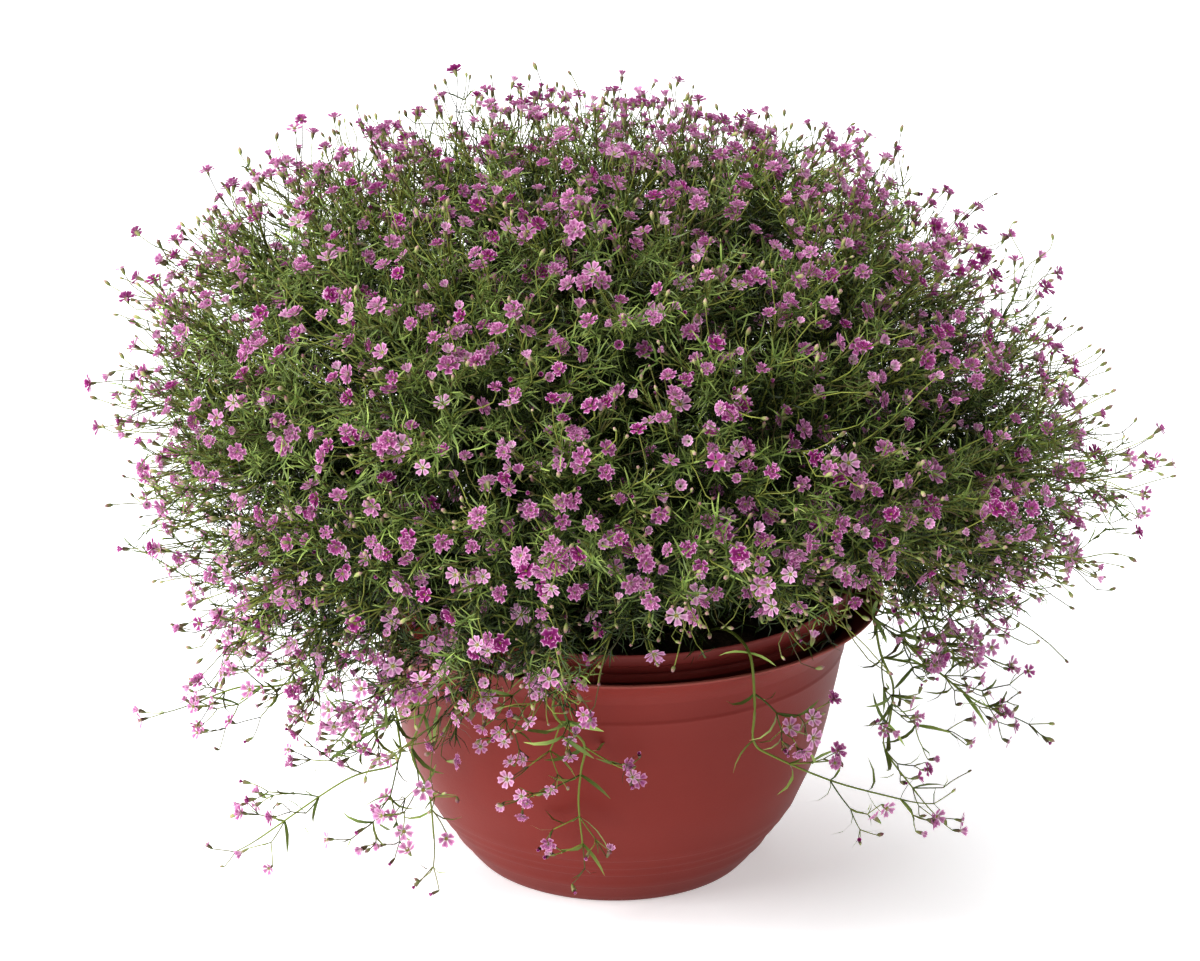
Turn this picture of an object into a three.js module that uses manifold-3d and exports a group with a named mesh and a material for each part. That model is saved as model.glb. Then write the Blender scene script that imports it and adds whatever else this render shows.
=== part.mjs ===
import * as THREE from 'three';
import { mergeVertices } from 'three/addons/utils/BufferGeometryUtils.js';
import Module from 'manifold-3d';

const wasm = await Module();
wasm.setup();

// Driving dimensions in millimetres. The origin is the middle of the bowl's base, +Z up, front at -Y.
const gap = 0.3;
const bowl = { rimRadius: 125, height: 132, footRadius: 63, floor: 3.5, segments: 25 };
const liner = { collarRadius: 111, collarStep: 4, top: 141, collarHeight: 13, baseRadius: 61, wall: 1.6 };
const drain = { radius: 5.5, ringRadius: 36, count: 4 };
const soil = { top: 126, crown: 4, edgeDrop: 3, segments: 20, holeDepth: 14, holeRadius: 2.3 };
const plant = {
  sprays: 29,
  width: 446,
  equator: 204,
  crown: 150,
  skirt: 108,
  underPower: 0.44,
  lowest: -62,
};
const frontLift = { direction: -64, halfWidth: 38, height: 64, start: 22 };
const swell = { twofold: 0.022, fivefold: 0.018, lean: 0.045 };
const stem = { radius: 1.4, innermost: 10, outermost: 74, firstShare: 0.12, spareShare: 0.38 };
const bend = { outward: 0.1, rise: 34, riseByReach: 0.24, approach: 0.42, leastRise: 42 };
const bloom = { radius: 16.5, inner: 0.36, cup: 0.16, hollow: 0.06, throat: 0.42, stalk: 1.1, count: 5 };
const leaf = { width: 4.6, thickness: 1.1, bow: 0.08, count: 3 };
const bud = { length: 8, radius: 2.4, stalk: 0.8, count: 1 };
const trailer = { rootRadius: 82, stem: 1.1, steps: 9, bloom: 7 };
const trailerRise = { overSoil: 9, overLiner: 5.5, overBowl: 9 };
const trailerLeaf = { length: 22, width: 3, thickness: 0.9, outward: 0.5, along: 0.6 };
const trailerBloom = { reach: 13, reachRange: 5, outward: 0.45, along: 0.5, turnAside: 0.4 };
const trailerTip = { reach: 9, along: 0.6 };
const trailerJoints = [
  { stepsToTip: 3, hand: 1, hasBloom: false },
  { stepsToTip: 1, hand: -1, hasBloom: true },
];

// How a spray's pieces are scattered over its part of the dome: distances along the dome, and lifts off it
const scatter = {
  bloom: { spread: 48, spreadRange: 8, jitter: 0.3, clear: 1, lift: 7, low: 0.6, tilt: 0.5, foot: 0.25 },
  bloomSize: { least: 0.84, range: 0.32 },
  leaf: { spread: 52, offset: 0.5, jitter: 0.4, clear: 5, lift: 8, low: 0.2, foot: 0.22 },
  bud: { spread: 34, offset: 0.25, jitter: 0.3, clear: 5, lift: 9, liftRange: 6, foot: 0.25 },
};

// Places along a spray's stem, from 0 at the soil to 1 at the dome, and the part of the room that is filled
const core = {
  slim: { share: 0.5, fill: 0.24, most: 12 },
  shoulder: { share: 0.74, fill: 0.74, most: 38 },
  point: { share: 0.95, fill: 0.85, most: 52 },
  notch: { share: 0.84, fill: 0.73, most: 52 },
  middle: 0.93,
  heart: 0.82,
};

// Trailing stems: the direction that each leaves the soil in, then the points that it hangs through
const trailerRoutes = [
  {
    name: 'front',
    turn: -100,
    hang: [[-26, -124, 120], [-13, -117, 103], [-14, -112, 87], [-15, -108, 70], [-13, -101, 46]],
  },
  {
    name: 'front_right',
    turn: -62,
    hang: [[61, -113, 119], [61, -112, 102], [70, -110, 94], [98, -99, 77], [131, -90, 64]],
  },
  {
    name: 'right',
    turn: -24,
    hang: [[120, -56, 120], [126, -56, 105], [125, -58, 89], [123, -60, 76], [139, -60, 53]],
  },
  {
    name: 'right_high',
    turn: -6,
    hang: [[133, -30, 117], [147, -30, 103], [165, -30, 88], [180, -30, 81]],
  },
  {
    name: 'front_left',
    turn: -125,
    hang: [[-82, -112, 114], [-88, -108, 93], [-81, -102, 71], [-79, -100, 48]],
  },
  {
    name: 'left',
    turn: -141,
    hang: [[-97, -92, 116], [-95, -92, 99], [-96, -90, 80], [-119, -85, 69], [-159, -82, 38]],
  },
  {
    name: 'left_high',
    turn: -161,
    hang: [[-128, -50, 114], [-148, -52, 101], [-169, -54, 100], [-190, -55, 92]],
  },
  {
    name: 'back',
    turn: 98,
    hang: [[-18, 131, 118], [-26, 128, 94], [-24, 120, 68], [-34, 112, 46]],
  },
];

const radians = THREE.MathUtils.degToRad;
const goldenAngle = Math.PI * (3 - Math.sqrt(5));
const lowestAngle = radians(plant.lowest);
const surfaceSteps = 240;
const vertical = new THREE.Vector3(0, 0, 1);

const materials = {
  bowl: new THREE.MeshStandardMaterial({ color: 0x91403a, roughness: 0.55, metalness: 0 }),
  liner: new THREE.MeshStandardMaterial({ color: 0x6d2626, roughness: 0.5, metalness: 0 }),
  soil: new THREE.MeshStandardMaterial({ color: 0x2e2219, roughness: 0.95, metalness: 0 }),
  foliage: new THREE.MeshStandardMaterial({ color: 0x5f8236, roughness: 0.7, metalness: 0 }),
};

// Seeded draws, the same for each run
function seeded(seed) {
  let state = seed >>> 0;
  return () => {
    state = (Math.imul(1664525, state) + 1013904223) >>> 0;
    return state / 4294967296;
  };
}

// Solids

function geometryFrom(points, triangles) {
  const geometry = new THREE.BufferGeometry().setFromPoints(points);
  geometry.setIndex(triangles.flat());
  return geometry;
}

function solidOf(geometry) {
  const plain = new THREE.BufferGeometry();
  plain.setAttribute('position', geometry.attributes.position);
  plain.setIndex(geometry.index);
  const merged = mergeVertices(plain, 1e-4);
  const kept = [];
  for (let i = 0; i < merged.index.count; i += 3) {
    const [a, b, c] = [0, 1, 2].map((k) => merged.index.getX(i + k));
    if (a !== b && b !== c && a !== c) kept.push(a, b, c);
  }
  return new wasm.Manifold(
    new wasm.Mesh({
      numProp: 3,
      vertProperties: new Float32Array(merged.attributes.position.array),
      triVerts: new Uint32Array(kept),
    }),
  );
}

function geometryOf(solid) {
  const mesh = solid.getMesh();
  const geometry = new THREE.BufferGeometry();
  geometry.setAttribute('position', new THREE.BufferAttribute(mesh.vertProperties, 3));
  geometry.setIndex(new THREE.BufferAttribute(mesh.triVerts, 1));
  geometry.computeVertexNormals();
  return geometry;
}

// Rings of points joined in order: a ring may have one point, as many as the last one, or a multiple of it
function loft(rings) {
  const points = rings.flat();
  const triangles = [];
  let start = 0;
  for (let k = 0; k + 1 < rings.length; k += 1) {
    const near = rings[k].length;
    const far = rings[k + 1].length;
    const next = start + near;
    const most = Math.max(near, far);
    for (let i = 0; i < most; i += 1) {
      const a = start + Math.floor((i * near) / most);
      const b = start + (Math.floor(((i + 1) * near) / most) % near);
      const c = next + Math.floor((i * far) / most);
      const d = next + (Math.floor(((i + 1) * far) / most) % far);
      if (c !== d) triangles.push([a, c, d]);
      if (a !== b) triangles.push([a, d, b]);
    }
    start = next;
  }
  const cap = (first, count, flip) => {
    for (let i = 1; i + 1 < count; i += 1) {
      triangles.push(flip ? [first, first + i + 1, first + i] : [first, first + i, first + i + 1]);
    }
  };
  cap(0, rings[0].length, false);
  cap(start, rings.at(-1).length, true);
  const geometry = geometryFrom(points, triangles);
  return signedVolume(points, triangles) < 0 ? turned(geometry) : geometry;
}

function signedVolume(points, triangles) {
  return triangles.reduce((sum, [a, b, c]) => {
    return sum + points[a].dot(new THREE.Vector3().crossVectors(points[b], points[c])) / 6;
  }, 0);
}

function turned(geometry) {
  const index = geometry.index;
  for (let i = 0; i < index.count; i += 3) {
    const first = index.getX(i);
    index.setX(i, index.getX(i + 1));
    index.setX(i + 1, first);
  }
  return geometry;
}

// A ring of points round a centre, turned from one axis towards the other
function ring(centre, axisA, axisB, radii, turn = 0) {
  return radii.map((radius, i) => {
    const angle = turn + (2 * Math.PI * i) / radii.length;
    return centre
      .clone()
      .addScaledVector(axisA, radius * Math.cos(angle))
      .addScaledVector(axisB, radius * Math.sin(angle));
  });
}

// Three-sided rings along a curve, each turned as little as possible from the last
function stemRings(curve, shares, radius, firstSide) {
  let side = firstSide.clone();
  return shares.map((share) => {
    const along = curve.getTangentAt(share);
    side = side.clone().addScaledVector(along, -side.dot(along)).normalize();
    const upward = new THREE.Vector3().crossVectors(along, side);
    return ring(curve.getPointAt(share), upward, side, [radius, radius, radius]);
  });
}

// The foot of a stem, upright in its hole
function footRing({ root, turn }, radius) {
  const foot = root.clone().setZ(soil.top - soil.holeDepth + gap);
  return ring(foot, outwardAt(turn).negate(), sidewaysAt(turn), [radius, radius, radius]);
}

function outwardAt(turn) {
  return new THREE.Vector3(Math.cos(turn), Math.sin(turn), 0);
}

function sidewaysAt(turn) {
  return new THREE.Vector3(-Math.sin(turn), Math.cos(turn), 0);
}

function axesAcross(direction) {
  const helper = Math.abs(direction.z) < 0.9 ? vertical : new THREE.Vector3(1, 0, 0);
  const side = new THREE.Vector3().crossVectors(direction, helper).normalize();
  return [side, new THREE.Vector3().crossVectors(side, direction).normalize()];
}

function latheSolid(profile, segments) {
  const geometry = new THREE.LatheGeometry(
    profile.map(([radius, height]) => new THREE.Vector2(radius, height)),
    segments,
  );
  geometry.rotateX(Math.PI / 2);
  return solidOf(geometry);
}

function addPiece(group, name, solid, material) {
  const piece = new THREE.Mesh(geometryOf(solid), material);
  piece.name = name;
  group.add(piece);
}

// Bowl: flared rim, raised line under it, rounded lower wall with stepped rings, foot ring

// Radii are counted inwards from the rim, heights from the base
function bowlOuterWall() {
  const { rimRadius, height } = bowl;
  return [
    [rimRadius - 59, 0.8],
    [rimRadius - 52, 10.5],
    [rimRadius - 50.4, 11.4],
    [rimRadius - 46.6, 19.2],
    [rimRadius - 45.2, 20.2],
    [rimRadius - 41.8, 27.2],
    [rimRadius - 40.4, 28.2],
    [rimRadius - 37.2, 35],
    [rimRadius - 30.5, 48],
    [rimRadius - 26, 62],
    [rimRadius - 21.5, 85],
    [rimRadius - 18, 105],
    [rimRadius - 17.2, 106.6],
    [rimRadius - 17.6, 108.2],
    [rimRadius - 16, 117],
    [rimRadius - 10.5, 124.5],
    [rimRadius, height],
  ];
}

function bowlInnerWall() {
  const { rimRadius, height, floor } = bowl;
  return [
    [rimRadius - 1.4, height + 0.9],
    [rimRadius - 12.6, 125.6],
    [rimRadius - 18.2, 117.6],
    [rimRadius - 28.2, 62.5],
    [rimRadius - 39.8, 35.8],
    [rimRadius - 60, floor],
  ];
}

function makeBowl() {
  const { footRadius, floor } = bowl;
  const pad = 9;
  const footWidth = 5;
  const recess = 1.3;
  const underside = [
    [0, 0],
    [pad, 0],
    [pad + 0.6, recess],
    [footRadius - footWidth - 0.6, recess],
    [footRadius - footWidth, 0],
    [footRadius, 0],
  ];
  return latheSolid([...underside, ...bowlOuterWall(), ...bowlInnerWall(), [0, floor]], bowl.segments);
}

// Grower's pot inside the bowl: tapered wall, stepped collar, drain holes in its floor

function linerInnerRadius(height) {
  const { collarRadius, collarStep, wall, baseRadius } = liner;
  const lowest = bowl.floor + gap;
  const share = (height - lowest) / (liner.top - liner.collarHeight - lowest);
  return THREE.MathUtils.lerp(baseRadius, collarRadius - collarStep, share) - wall;
}

function makeLiner() {
  const { collarRadius, collarStep, top, collarHeight, baseRadius, wall } = liner;
  const lowest = bowl.floor + gap;
  const shoulder = top - collarHeight;
  const floorTop = lowest + wall;
  const bead = { height: 5, depth: 0.6 };
  const profile = [
    [0, lowest],
    [baseRadius, lowest],
    [collarRadius - collarStep, shoulder - 1],
    [collarRadius - bead.depth, shoulder],
    [collarRadius - bead.depth, top - bead.height - bead.depth],
    [collarRadius, top - bead.height],
    [collarRadius, top],
    [collarRadius - wall, top],
    [linerInnerRadius(shoulder), shoulder],
    [linerInnerRadius(floorTop), floorTop],
    [0, floorTop],
  ];
  let solid = latheSolid(profile, soil.segments);
  for (let i = 0; i < drain.count; i += 1) {
    const angle = (2 * Math.PI * (i + 0.5)) / drain.count;
    const hole = new THREE.CylinderGeometry(drain.radius, drain.radius, 4 * wall, 6);
    hole.rotateX(Math.PI / 2);
    const x = drain.ringRadius * Math.cos(angle);
    const y = drain.ringRadius * Math.sin(angle);
    hole.translate(x, y, lowest + wall / 2);
    solid = solid.subtract(solidOf(hole));
  }
  return solid;
}

// Soil: fills the grower's pot, with a plain hole for each stem

function makeSoil(stems) {
  const bottom = bowl.floor + gap + liner.wall + gap;
  const profile = [
    [0, bottom],
    [linerInnerRadius(bottom) - gap, bottom],
    [linerInnerRadius(soil.top - soil.edgeDrop) - gap, soil.top - soil.edgeDrop],
    [trailer.rootRadius + 4, soil.top],
    [0, soil.top + soil.crown],
  ];
  let solid = latheSolid(profile, soil.segments);
  const depth = soil.holeDepth + 2 * soil.crown;
  for (const { root, turn } of stems) {
    const hole = new THREE.CylinderGeometry(soil.holeRadius, soil.holeRadius, depth, 3);
    hole.rotateX(Math.PI / 2);
    hole.rotateZ(turn + 1.5 * Math.PI);
    hole.translate(root.x, root.y, soil.top - soil.holeDepth + depth / 2);
    solid = solid.subtract(solidOf(hole));
  }
  return solid;
}

// Dome: the surface that the sprays reach, by an angle from the top (90 degrees) down under the widest line

function domeProfile(angle) {
  const half = plant.width / 2;
  const sine = Math.sin(angle);
  const cosine = Math.max(Math.cos(angle), 0);
  if (angle >= 0) return { radius: half * cosine, height: plant.equator + plant.crown * sine };
  return { radius: half * cosine ** plant.underPower, height: plant.equator + plant.skirt * sine };
}

// The front hangs less low than the sides, so that the bowl shows
function liftAt(angle, turn) {
  const start = Math.sin(radians(frontLift.start));
  const share = THREE.MathUtils.clamp((start - Math.sin(angle)) / (start - Math.sin(lowestAngle)), 0, 1);
  const { euclideanModulo } = THREE.MathUtils;
  const fromFront = euclideanModulo(turn - radians(frontLift.direction) + Math.PI, 2 * Math.PI) - Math.PI;
  const offset = fromFront / radians(frontLift.halfWidth);
  return frontLift.height * share * Math.exp(-(offset ** 4));
}

// Slow swells round the dome, and a shoulder that is fuller on the left than on the right
function bulge(angle, turn) {
  const twofold = swell.twofold * Math.sin(2 * turn + 0.6);
  const fivefold = swell.fivefold * Math.sin(5 * turn + 2.1) * Math.cos(angle);
  const lean = swell.lean * Math.cos(turn) * Math.max(Math.sin(2 * angle), 0);
  return 1 + twofold + fivefold - lean;
}

function surfacePoint(angle, turn) {
  const { radius, height } = domeProfile(angle);
  return outwardAt(turn)
    .multiplyScalar(radius * bulge(angle, turn))
    .setZ(height + liftAt(angle, turn));
}

function surfaceNormal(angle, turn) {
  const step = 0.02;
  const along = surfacePoint(angle - step, turn).sub(surfacePoint(angle + step, turn));
  const normal = new THREE.Vector3().crossVectors(along, sidewaysAt(turn)).normalize();
  const outward = outwardAt(turn).multiplyScalar(Math.cos(angle)).setZ(Math.sin(angle));
  return normal.dot(outward) < 0 ? normal.negate() : normal;
}

// Angles at equal steps of the dome's area, one for each spray
function angleAtArea(share) {
  const areas = [0];
  const angleOf = (i) => THREE.MathUtils.lerp(Math.PI / 2, lowestAngle, i / surfaceSteps);
  for (let i = 1; i <= surfaceSteps; i += 1) {
    const a = domeProfile(angleOf(i - 1));
    const b = domeProfile(angleOf(i));
    const band = (a.radius + b.radius) * Math.hypot(a.radius - b.radius, a.height - b.height);
    areas.push(areas.at(-1) + band);
  }
  const wanted = share * areas.at(-1);
  const found = areas.findIndex((area) => area >= wanted);
  const part = (wanted - areas[found - 1]) / (areas[found] - areas[found - 1]);
  return angleOf(found - 1 + part);
}

// A point near the dome moved onto it, with the surface's direction there
function ontoSurface(point) {
  const turn = Math.atan2(point.y, point.x);
  const radius = Math.hypot(point.x, point.y);
  let best = { distance: Infinity, angle: 0 };
  for (let i = 0; i <= surfaceSteps; i += 1) {
    const angle = THREE.MathUtils.lerp(Math.PI / 2, lowestAngle, i / surfaceSteps);
    const on = surfacePoint(angle, turn);
    const distance = Math.hypot(Math.hypot(on.x, on.y) - radius, on.z - point.z);
    if (distance < best.distance) best = { distance, angle };
  }
  return { point: surfacePoint(best.angle, turn), normal: surfaceNormal(best.angle, turn) };
}

// Where each spray's stem leaves the soil, how it bends and where it ends

function soilHeight(radius) {
  return soil.top + soil.crown * Math.max(1 - radius / (trailer.rootRadius + 4), 0);
}

// The first spray stands in the middle, and the others wind outwards at equal steps of area
function layOutSpray(index) {
  const share = (index + stem.firstShare) / (plant.sprays - stem.spareShare);
  const angle = angleAtArea(share);
  const turn = index * goldenAngle;
  const end = surfacePoint(angle, turn);
  const normal = surfaceNormal(angle, turn);
  const rootRadius = THREE.MathUtils.lerp(stem.innermost, stem.outermost, Math.sqrt(share));
  const root = outwardAt(turn).multiplyScalar(rootRadius).setZ(soilHeight(rootRadius));
  const reach = root.distanceTo(end);
  const rise = root.clone().addScaledVector(outwardAt(turn), bend.outward * reach);
  rise.z += bend.rise + bend.riseByReach * reach;
  const approach = end.clone().addScaledVector(normal, -bend.approach * reach);
  approach.z = Math.max(approach.z, root.z + bend.leastRise);
  return { index, turn, end, normal, root, curve: new THREE.CubicBezierCurve3(root, rise, approach, end) };
}

// A trailing stem rises from the soil, clears both rims and hangs down outside the bowl
function layOutTrailer({ name, turn: degrees, hang }, index) {
  const turn = radians(degrees);
  const at = (radius, height) => outwardAt(turn).multiplyScalar(radius).setZ(height);
  const { rootRadius } = trailer;
  const root = at(rootRadius, soilHeight(rootRadius));
  const points = [
    root,
    at(rootRadius + 1.5, root.z + trailerRise.overSoil),
    at((rootRadius + liner.collarRadius) / 2, liner.top + trailerRise.overLiner / 2),
    at(liner.collarRadius, liner.top + trailerRise.overLiner),
    at(bowl.rimRadius, bowl.height + trailerRise.overBowl),
    ...hang.map((point) => new THREE.Vector3(...point)),
  ];
  return { name, index, turn, root, curve: new THREE.CatmullRomCurve3(points) };
}

const trailers = trailerRoutes.map(layOutTrailer);
const trailerPoints = trailers.flatMap(({ curve }) => curve.getSpacedPoints(24));

const sprays = Array.from({ length: plant.sprays }, (_, index) => layOutSpray(index));

// How far a point may go from a spray's stem in one direction before it reaches a neighbour or a rim
function roomAround(spray, share, centre, direction) {
  const clearance = 6;
  let room = Infinity;
  for (const other of sprays) {
    if (other === spray) continue;
    const between = other.curve.getPoint(share).sub(centre);
    const facing = between.dot(direction);
    if (facing > 0) room = Math.min(room, between.lengthSq() / (2 * facing));
  }
  const rims = [[bowl.rimRadius, bowl.height], [liner.collarRadius, liner.top]];
  const outward = outwardAt(spray.turn);
  const obstacles = rims.map(([radius, height]) => outward.clone().multiplyScalar(radius).setZ(height));
  for (const obstacle of [...obstacles, ...trailerPoints]) {
    const between = obstacle.clone().sub(centre);
    const facing = between.dot(direction) / between.length();
    if (facing > 0) room = Math.min(room, Math.max(between.length() - clearance, 1) / facing);
  }
  return room;
}

// One point of a spray's core, in a direction round its stem
function corePoint(spray, { share, fill, most }, angle) {
  const centre = spray.curve.getPoint(share);
  const side = sidewaysAt(spray.turn);
  const upward = new THREE.Vector3().crossVectors(spray.curve.getTangent(share), side).normalize();
  const direction = upward.multiplyScalar(Math.cos(angle)).addScaledVector(side, Math.sin(angle));
  const radius = Math.min(fill * roomAround(spray, share, centre, direction), most);
  return centre.addScaledVector(direction, radius);
}

// A spray's stem, which widens into a smaller core of foliage, with points like the tips of its outer leaves
function coreSolid(spray) {
  const coreRing = (place, count) => {
    return Array.from({ length: count }, (_, i) => corePoint(spray, place, (2 * Math.PI * i) / count));
  };
  const crown = Array.from({ length: 12 }, (_, i) => {
    return corePoint(spray, i % 2 === 0 ? core.point : core.notch, (Math.PI * i) / 6);
  });
  return solidOf(loft([
    footRing(spray, stem.radius),
    ...stemRings(spray.curve, [0, 0.27], stem.radius, sidewaysAt(spray.turn)),
    coreRing(core.slim, 6),
    coreRing(core.shoulder, 6),
    crown,
    [spray.curve.getPoint(core.middle)],
  ]));
}

// A bloom of five two-lobed petals, cupped, on a thin stalk
function bloomSolid(foot, centre, normal, radius, turn) {
  const [a, b] = axesAcross(normal);
  const lobe = 0.34;
  const spots = [
    { offset: -Math.PI / 5, reach: bloom.inner, lift: 0 },
    { offset: -lobe, reach: 1, lift: bloom.cup },
    { offset: lobe, reach: 1, lift: bloom.cup },
  ];
  const outline = [];
  for (let petal = 0; petal < 5; petal += 1) {
    for (const { offset, reach, lift } of spots) {
      const angle = turn + (2 * Math.PI * petal) / 5 + offset;
      const spot = centre.clone().addScaledVector(normal, radius * lift);
      spot.addScaledVector(a, radius * reach * Math.cos(angle));
      spot.addScaledVector(b, radius * reach * Math.sin(angle));
      outline.push(spot);
    }
  }
  const stalk = [bloom.stalk, bloom.stalk, bloom.stalk];
  const neck = centre.clone().addScaledVector(normal, -bloom.throat * radius);
  return solidOf(loft([
    ring(foot, a, b, stalk, turn),
    ring(neck, a, b, stalk, turn),
    outline,
    [centre.clone().addScaledVector(normal, -bloom.hollow * radius)],
  ]));
}

// A slim pointed leaf, widest past its middle, with a keel
function leafSolid(root, tip, upward, { width, thickness }) {
  const along = tip.clone().sub(root);
  const side = new THREE.Vector3().crossVectors(along, upward).normalize();
  const keel = new THREE.Vector3().crossVectors(side, along).normalize();
  const section = (share, half, bow) => {
    const centre = root.clone().addScaledVector(along, share).addScaledVector(keel, bow);
    return [
      centre.clone().addScaledVector(side, half),
      centre.clone().addScaledVector(keel, thickness),
      centre.clone().addScaledVector(side, -half),
    ];
  };
  const bow = leaf.bow * along.length();
  return solidOf(loft([section(0, width / 2, 0), section(0.55, width / 2, bow), [tip]]));
}

// A teardrop bud on a wiry stalk
function budSolid(root, tip, radius, stalkRadius) {
  const along = tip.clone().sub(root);
  const direction = along.clone().normalize();
  const [a, b] = axesAcross(direction);
  const section = (centre, size) => ring(centre, a, b, [size, size, size]);
  const belly = tip.clone().addScaledVector(direction, -bud.length);
  return solidOf(loft([section(root, stalkRadius), section(belly, radius), [tip]]));
}

// The distance from a point to the nearest border with another spray's place on the dome
function distanceToBorder(spray, point) {
  let nearest = Infinity;
  for (const other of sprays) {
    if (other === spray) continue;
    const apart = other.end.distanceTo(spray.end);
    const distance = (point.distanceToSquared(other.end) - point.distanceToSquared(spray.end)) / (2 * apart);
    nearest = Math.min(nearest, distance);
  }
  return nearest;
}

// A place on the dome, out from a spray's end as far as its border lets a piece of some size go
function placeInSpray(spray, direction, wanted, clearance) {
  const side = sidewaysAt(spray.turn);
  const upward = new THREE.Vector3().crossVectors(spray.normal, side).normalize();
  for (let distance = wanted; distance > 1; distance *= 0.94) {
    const near = spray.end
      .clone()
      .addScaledVector(upward, distance * Math.cos(direction))
      .addScaledVector(side, distance * Math.sin(direction));
    const found = ontoSurface(near);
    if (distanceToBorder(spray, found.point) > clearance) return found;
  }
  return { point: spray.end.clone(), normal: spray.normal.clone() };
}

// Every stalk and leaf starts near the heart of the spray's core and ends on the dome or just past it
function makeSpray(spray) {
  const draw = seeded(7001 + 97 * spray.index);
  const heart = spray.curve.getPoint(core.heart);
  const firstTurn = 2 * Math.PI * draw();
  const around = (i, count, jitter) => firstTurn + ((i + jitter) * 2 * Math.PI) / count;
  let solid = coreSolid(spray);
  for (let i = 0; i < bloom.count; i += 1) {
    const { spread, spreadRange, jitter, clear, lift, low, tilt, foot } = scatter.bloom;
    const radius = bloom.radius * (scatter.bloomSize.least + scatter.bloomSize.range * draw());
    const direction = around(i, bloom.count - 1, jitter * (draw() - 0.5));
    const distance = i > 0 ? spread - spreadRange * draw() : spreadRange * draw();
    const place = placeInSpray(spray, direction, distance, radius + clear);
    const centre = place.point.clone().addScaledVector(place.normal, lift * (draw() - low));
    const lean = new THREE.Vector3(draw() - 0.5, draw() - 0.5, draw() - 0.5);
    const facing = place.normal.clone().addScaledVector(lean, tilt).normalize();
    const start = heart.clone().lerp(centre, foot);
    solid = solid.add(bloomSolid(start, centre, facing, radius, 2 * Math.PI * draw()));
  }
  for (let i = 0; i < leaf.count; i += 1) {
    const { spread, offset, jitter, clear, lift, low, foot } = scatter.leaf;
    const direction = around(i, leaf.count, offset + jitter * (draw() - 0.5));
    const place = placeInSpray(spray, direction, spread, clear);
    const tip = place.point.clone().addScaledVector(place.normal, lift * (draw() - low));
    solid = solid.add(leafSolid(heart.clone().lerp(tip, foot), tip, place.normal, leaf));
  }
  for (let i = 0; i < bud.count; i += 1) {
    const { spread, offset, jitter, clear, lift, liftRange, foot } = scatter.bud;
    const place = placeInSpray(spray, around(i, bud.count, offset + jitter * draw()), spread, clear);
    const tip = place.point.clone().addScaledVector(place.normal, lift + liftRange * draw());
    solid = solid.add(budSolid(heart.clone().lerp(place.point, foot), tip, bud.radius, bud.stalk));
  }
  return solid;
}

// Trailing stems: true size, with a bloom at the tip, a leaf at two joints above it and a bloom beside one
function makeTrailer({ index, root, turn, curve }) {
  const draw = seeded(4201 + 61 * index);
  const shares = Array.from({ length: trailer.steps }, (_, i) => i / (trailer.steps - 1));
  const rings = stemRings(curve, shares, trailer.stem, sidewaysAt(turn));
  const away = (point) => new THREE.Vector3(point.x, point.y, 0).normalize();
  const tip = curve.getPointAt(1);
  const tipFacing = away(tip).addScaledVector(curve.getTangentAt(1), trailerTip.along).normalize();
  const tipCentre = tip.clone().addScaledVector(tipFacing, trailerTip.reach);
  let solid = solidOf(loft([footRing({ root, turn }, trailer.stem), ...rings]));
  solid = solid.add(bloomSolid(tip, tipCentre, tipFacing, trailer.bloom, draw()));
  for (const { stepsToTip, hand, hasBloom } of trailerJoints) {
    const share = shares.at(-1 - stepsToTip);
    const joint = curve.getPointAt(share);
    const along = curve.getTangentAt(share);
    const outward = away(joint);
    const beside = new THREE.Vector3().crossVectors(along, outward).normalize().multiplyScalar(hand);
    if (hasBloom) {
      const { reach, reachRange, turnAside } = trailerBloom;
      const direction = beside.clone().addScaledVector(outward, trailerBloom.outward);
      direction.addScaledVector(along, trailerBloom.along);
      const centre = joint.clone().addScaledVector(direction, reach + reachRange * draw());
      const facing = outward.clone().addScaledVector(beside, turnAside).normalize();
      solid = solid.add(bloomSolid(joint, centre, facing, trailer.bloom, 2 * Math.PI * draw()));
    }
    const leafReach = beside.clone().negate().addScaledVector(outward, trailerLeaf.outward);
    leafReach.addScaledVector(along, trailerLeaf.along).normalize();
    const leafTip = joint.clone().addScaledVector(leafReach, trailerLeaf.length);
    solid = solid.add(leafSolid(joint, leafTip, outward, trailerLeaf));
  }
  return solid;
}

const group = new THREE.Group();
group.name = 'potted_babys_breath';
addPiece(group, 'bowl', makeBowl(), materials.bowl);
addPiece(group, 'liner', makeLiner(), materials.liner);
addPiece(group, 'soil', makeSoil([...sprays, ...trailers]), materials.soil);
for (const spray of sprays) {
  const name = `spray_${String(spray.index + 1).padStart(2, '0')}`;
  addPiece(group, name, makeSpray(spray), materials.foliage);
}
for (const trailing of trailers) {
  addPiece(group, `trailer_${trailing.name}`, makeTrailer(trailing), materials.foliage);
}

export default group;
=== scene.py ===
import math

import bmesh
import bpy
import numpy as np
from mathutils import Matrix, Vector


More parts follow.
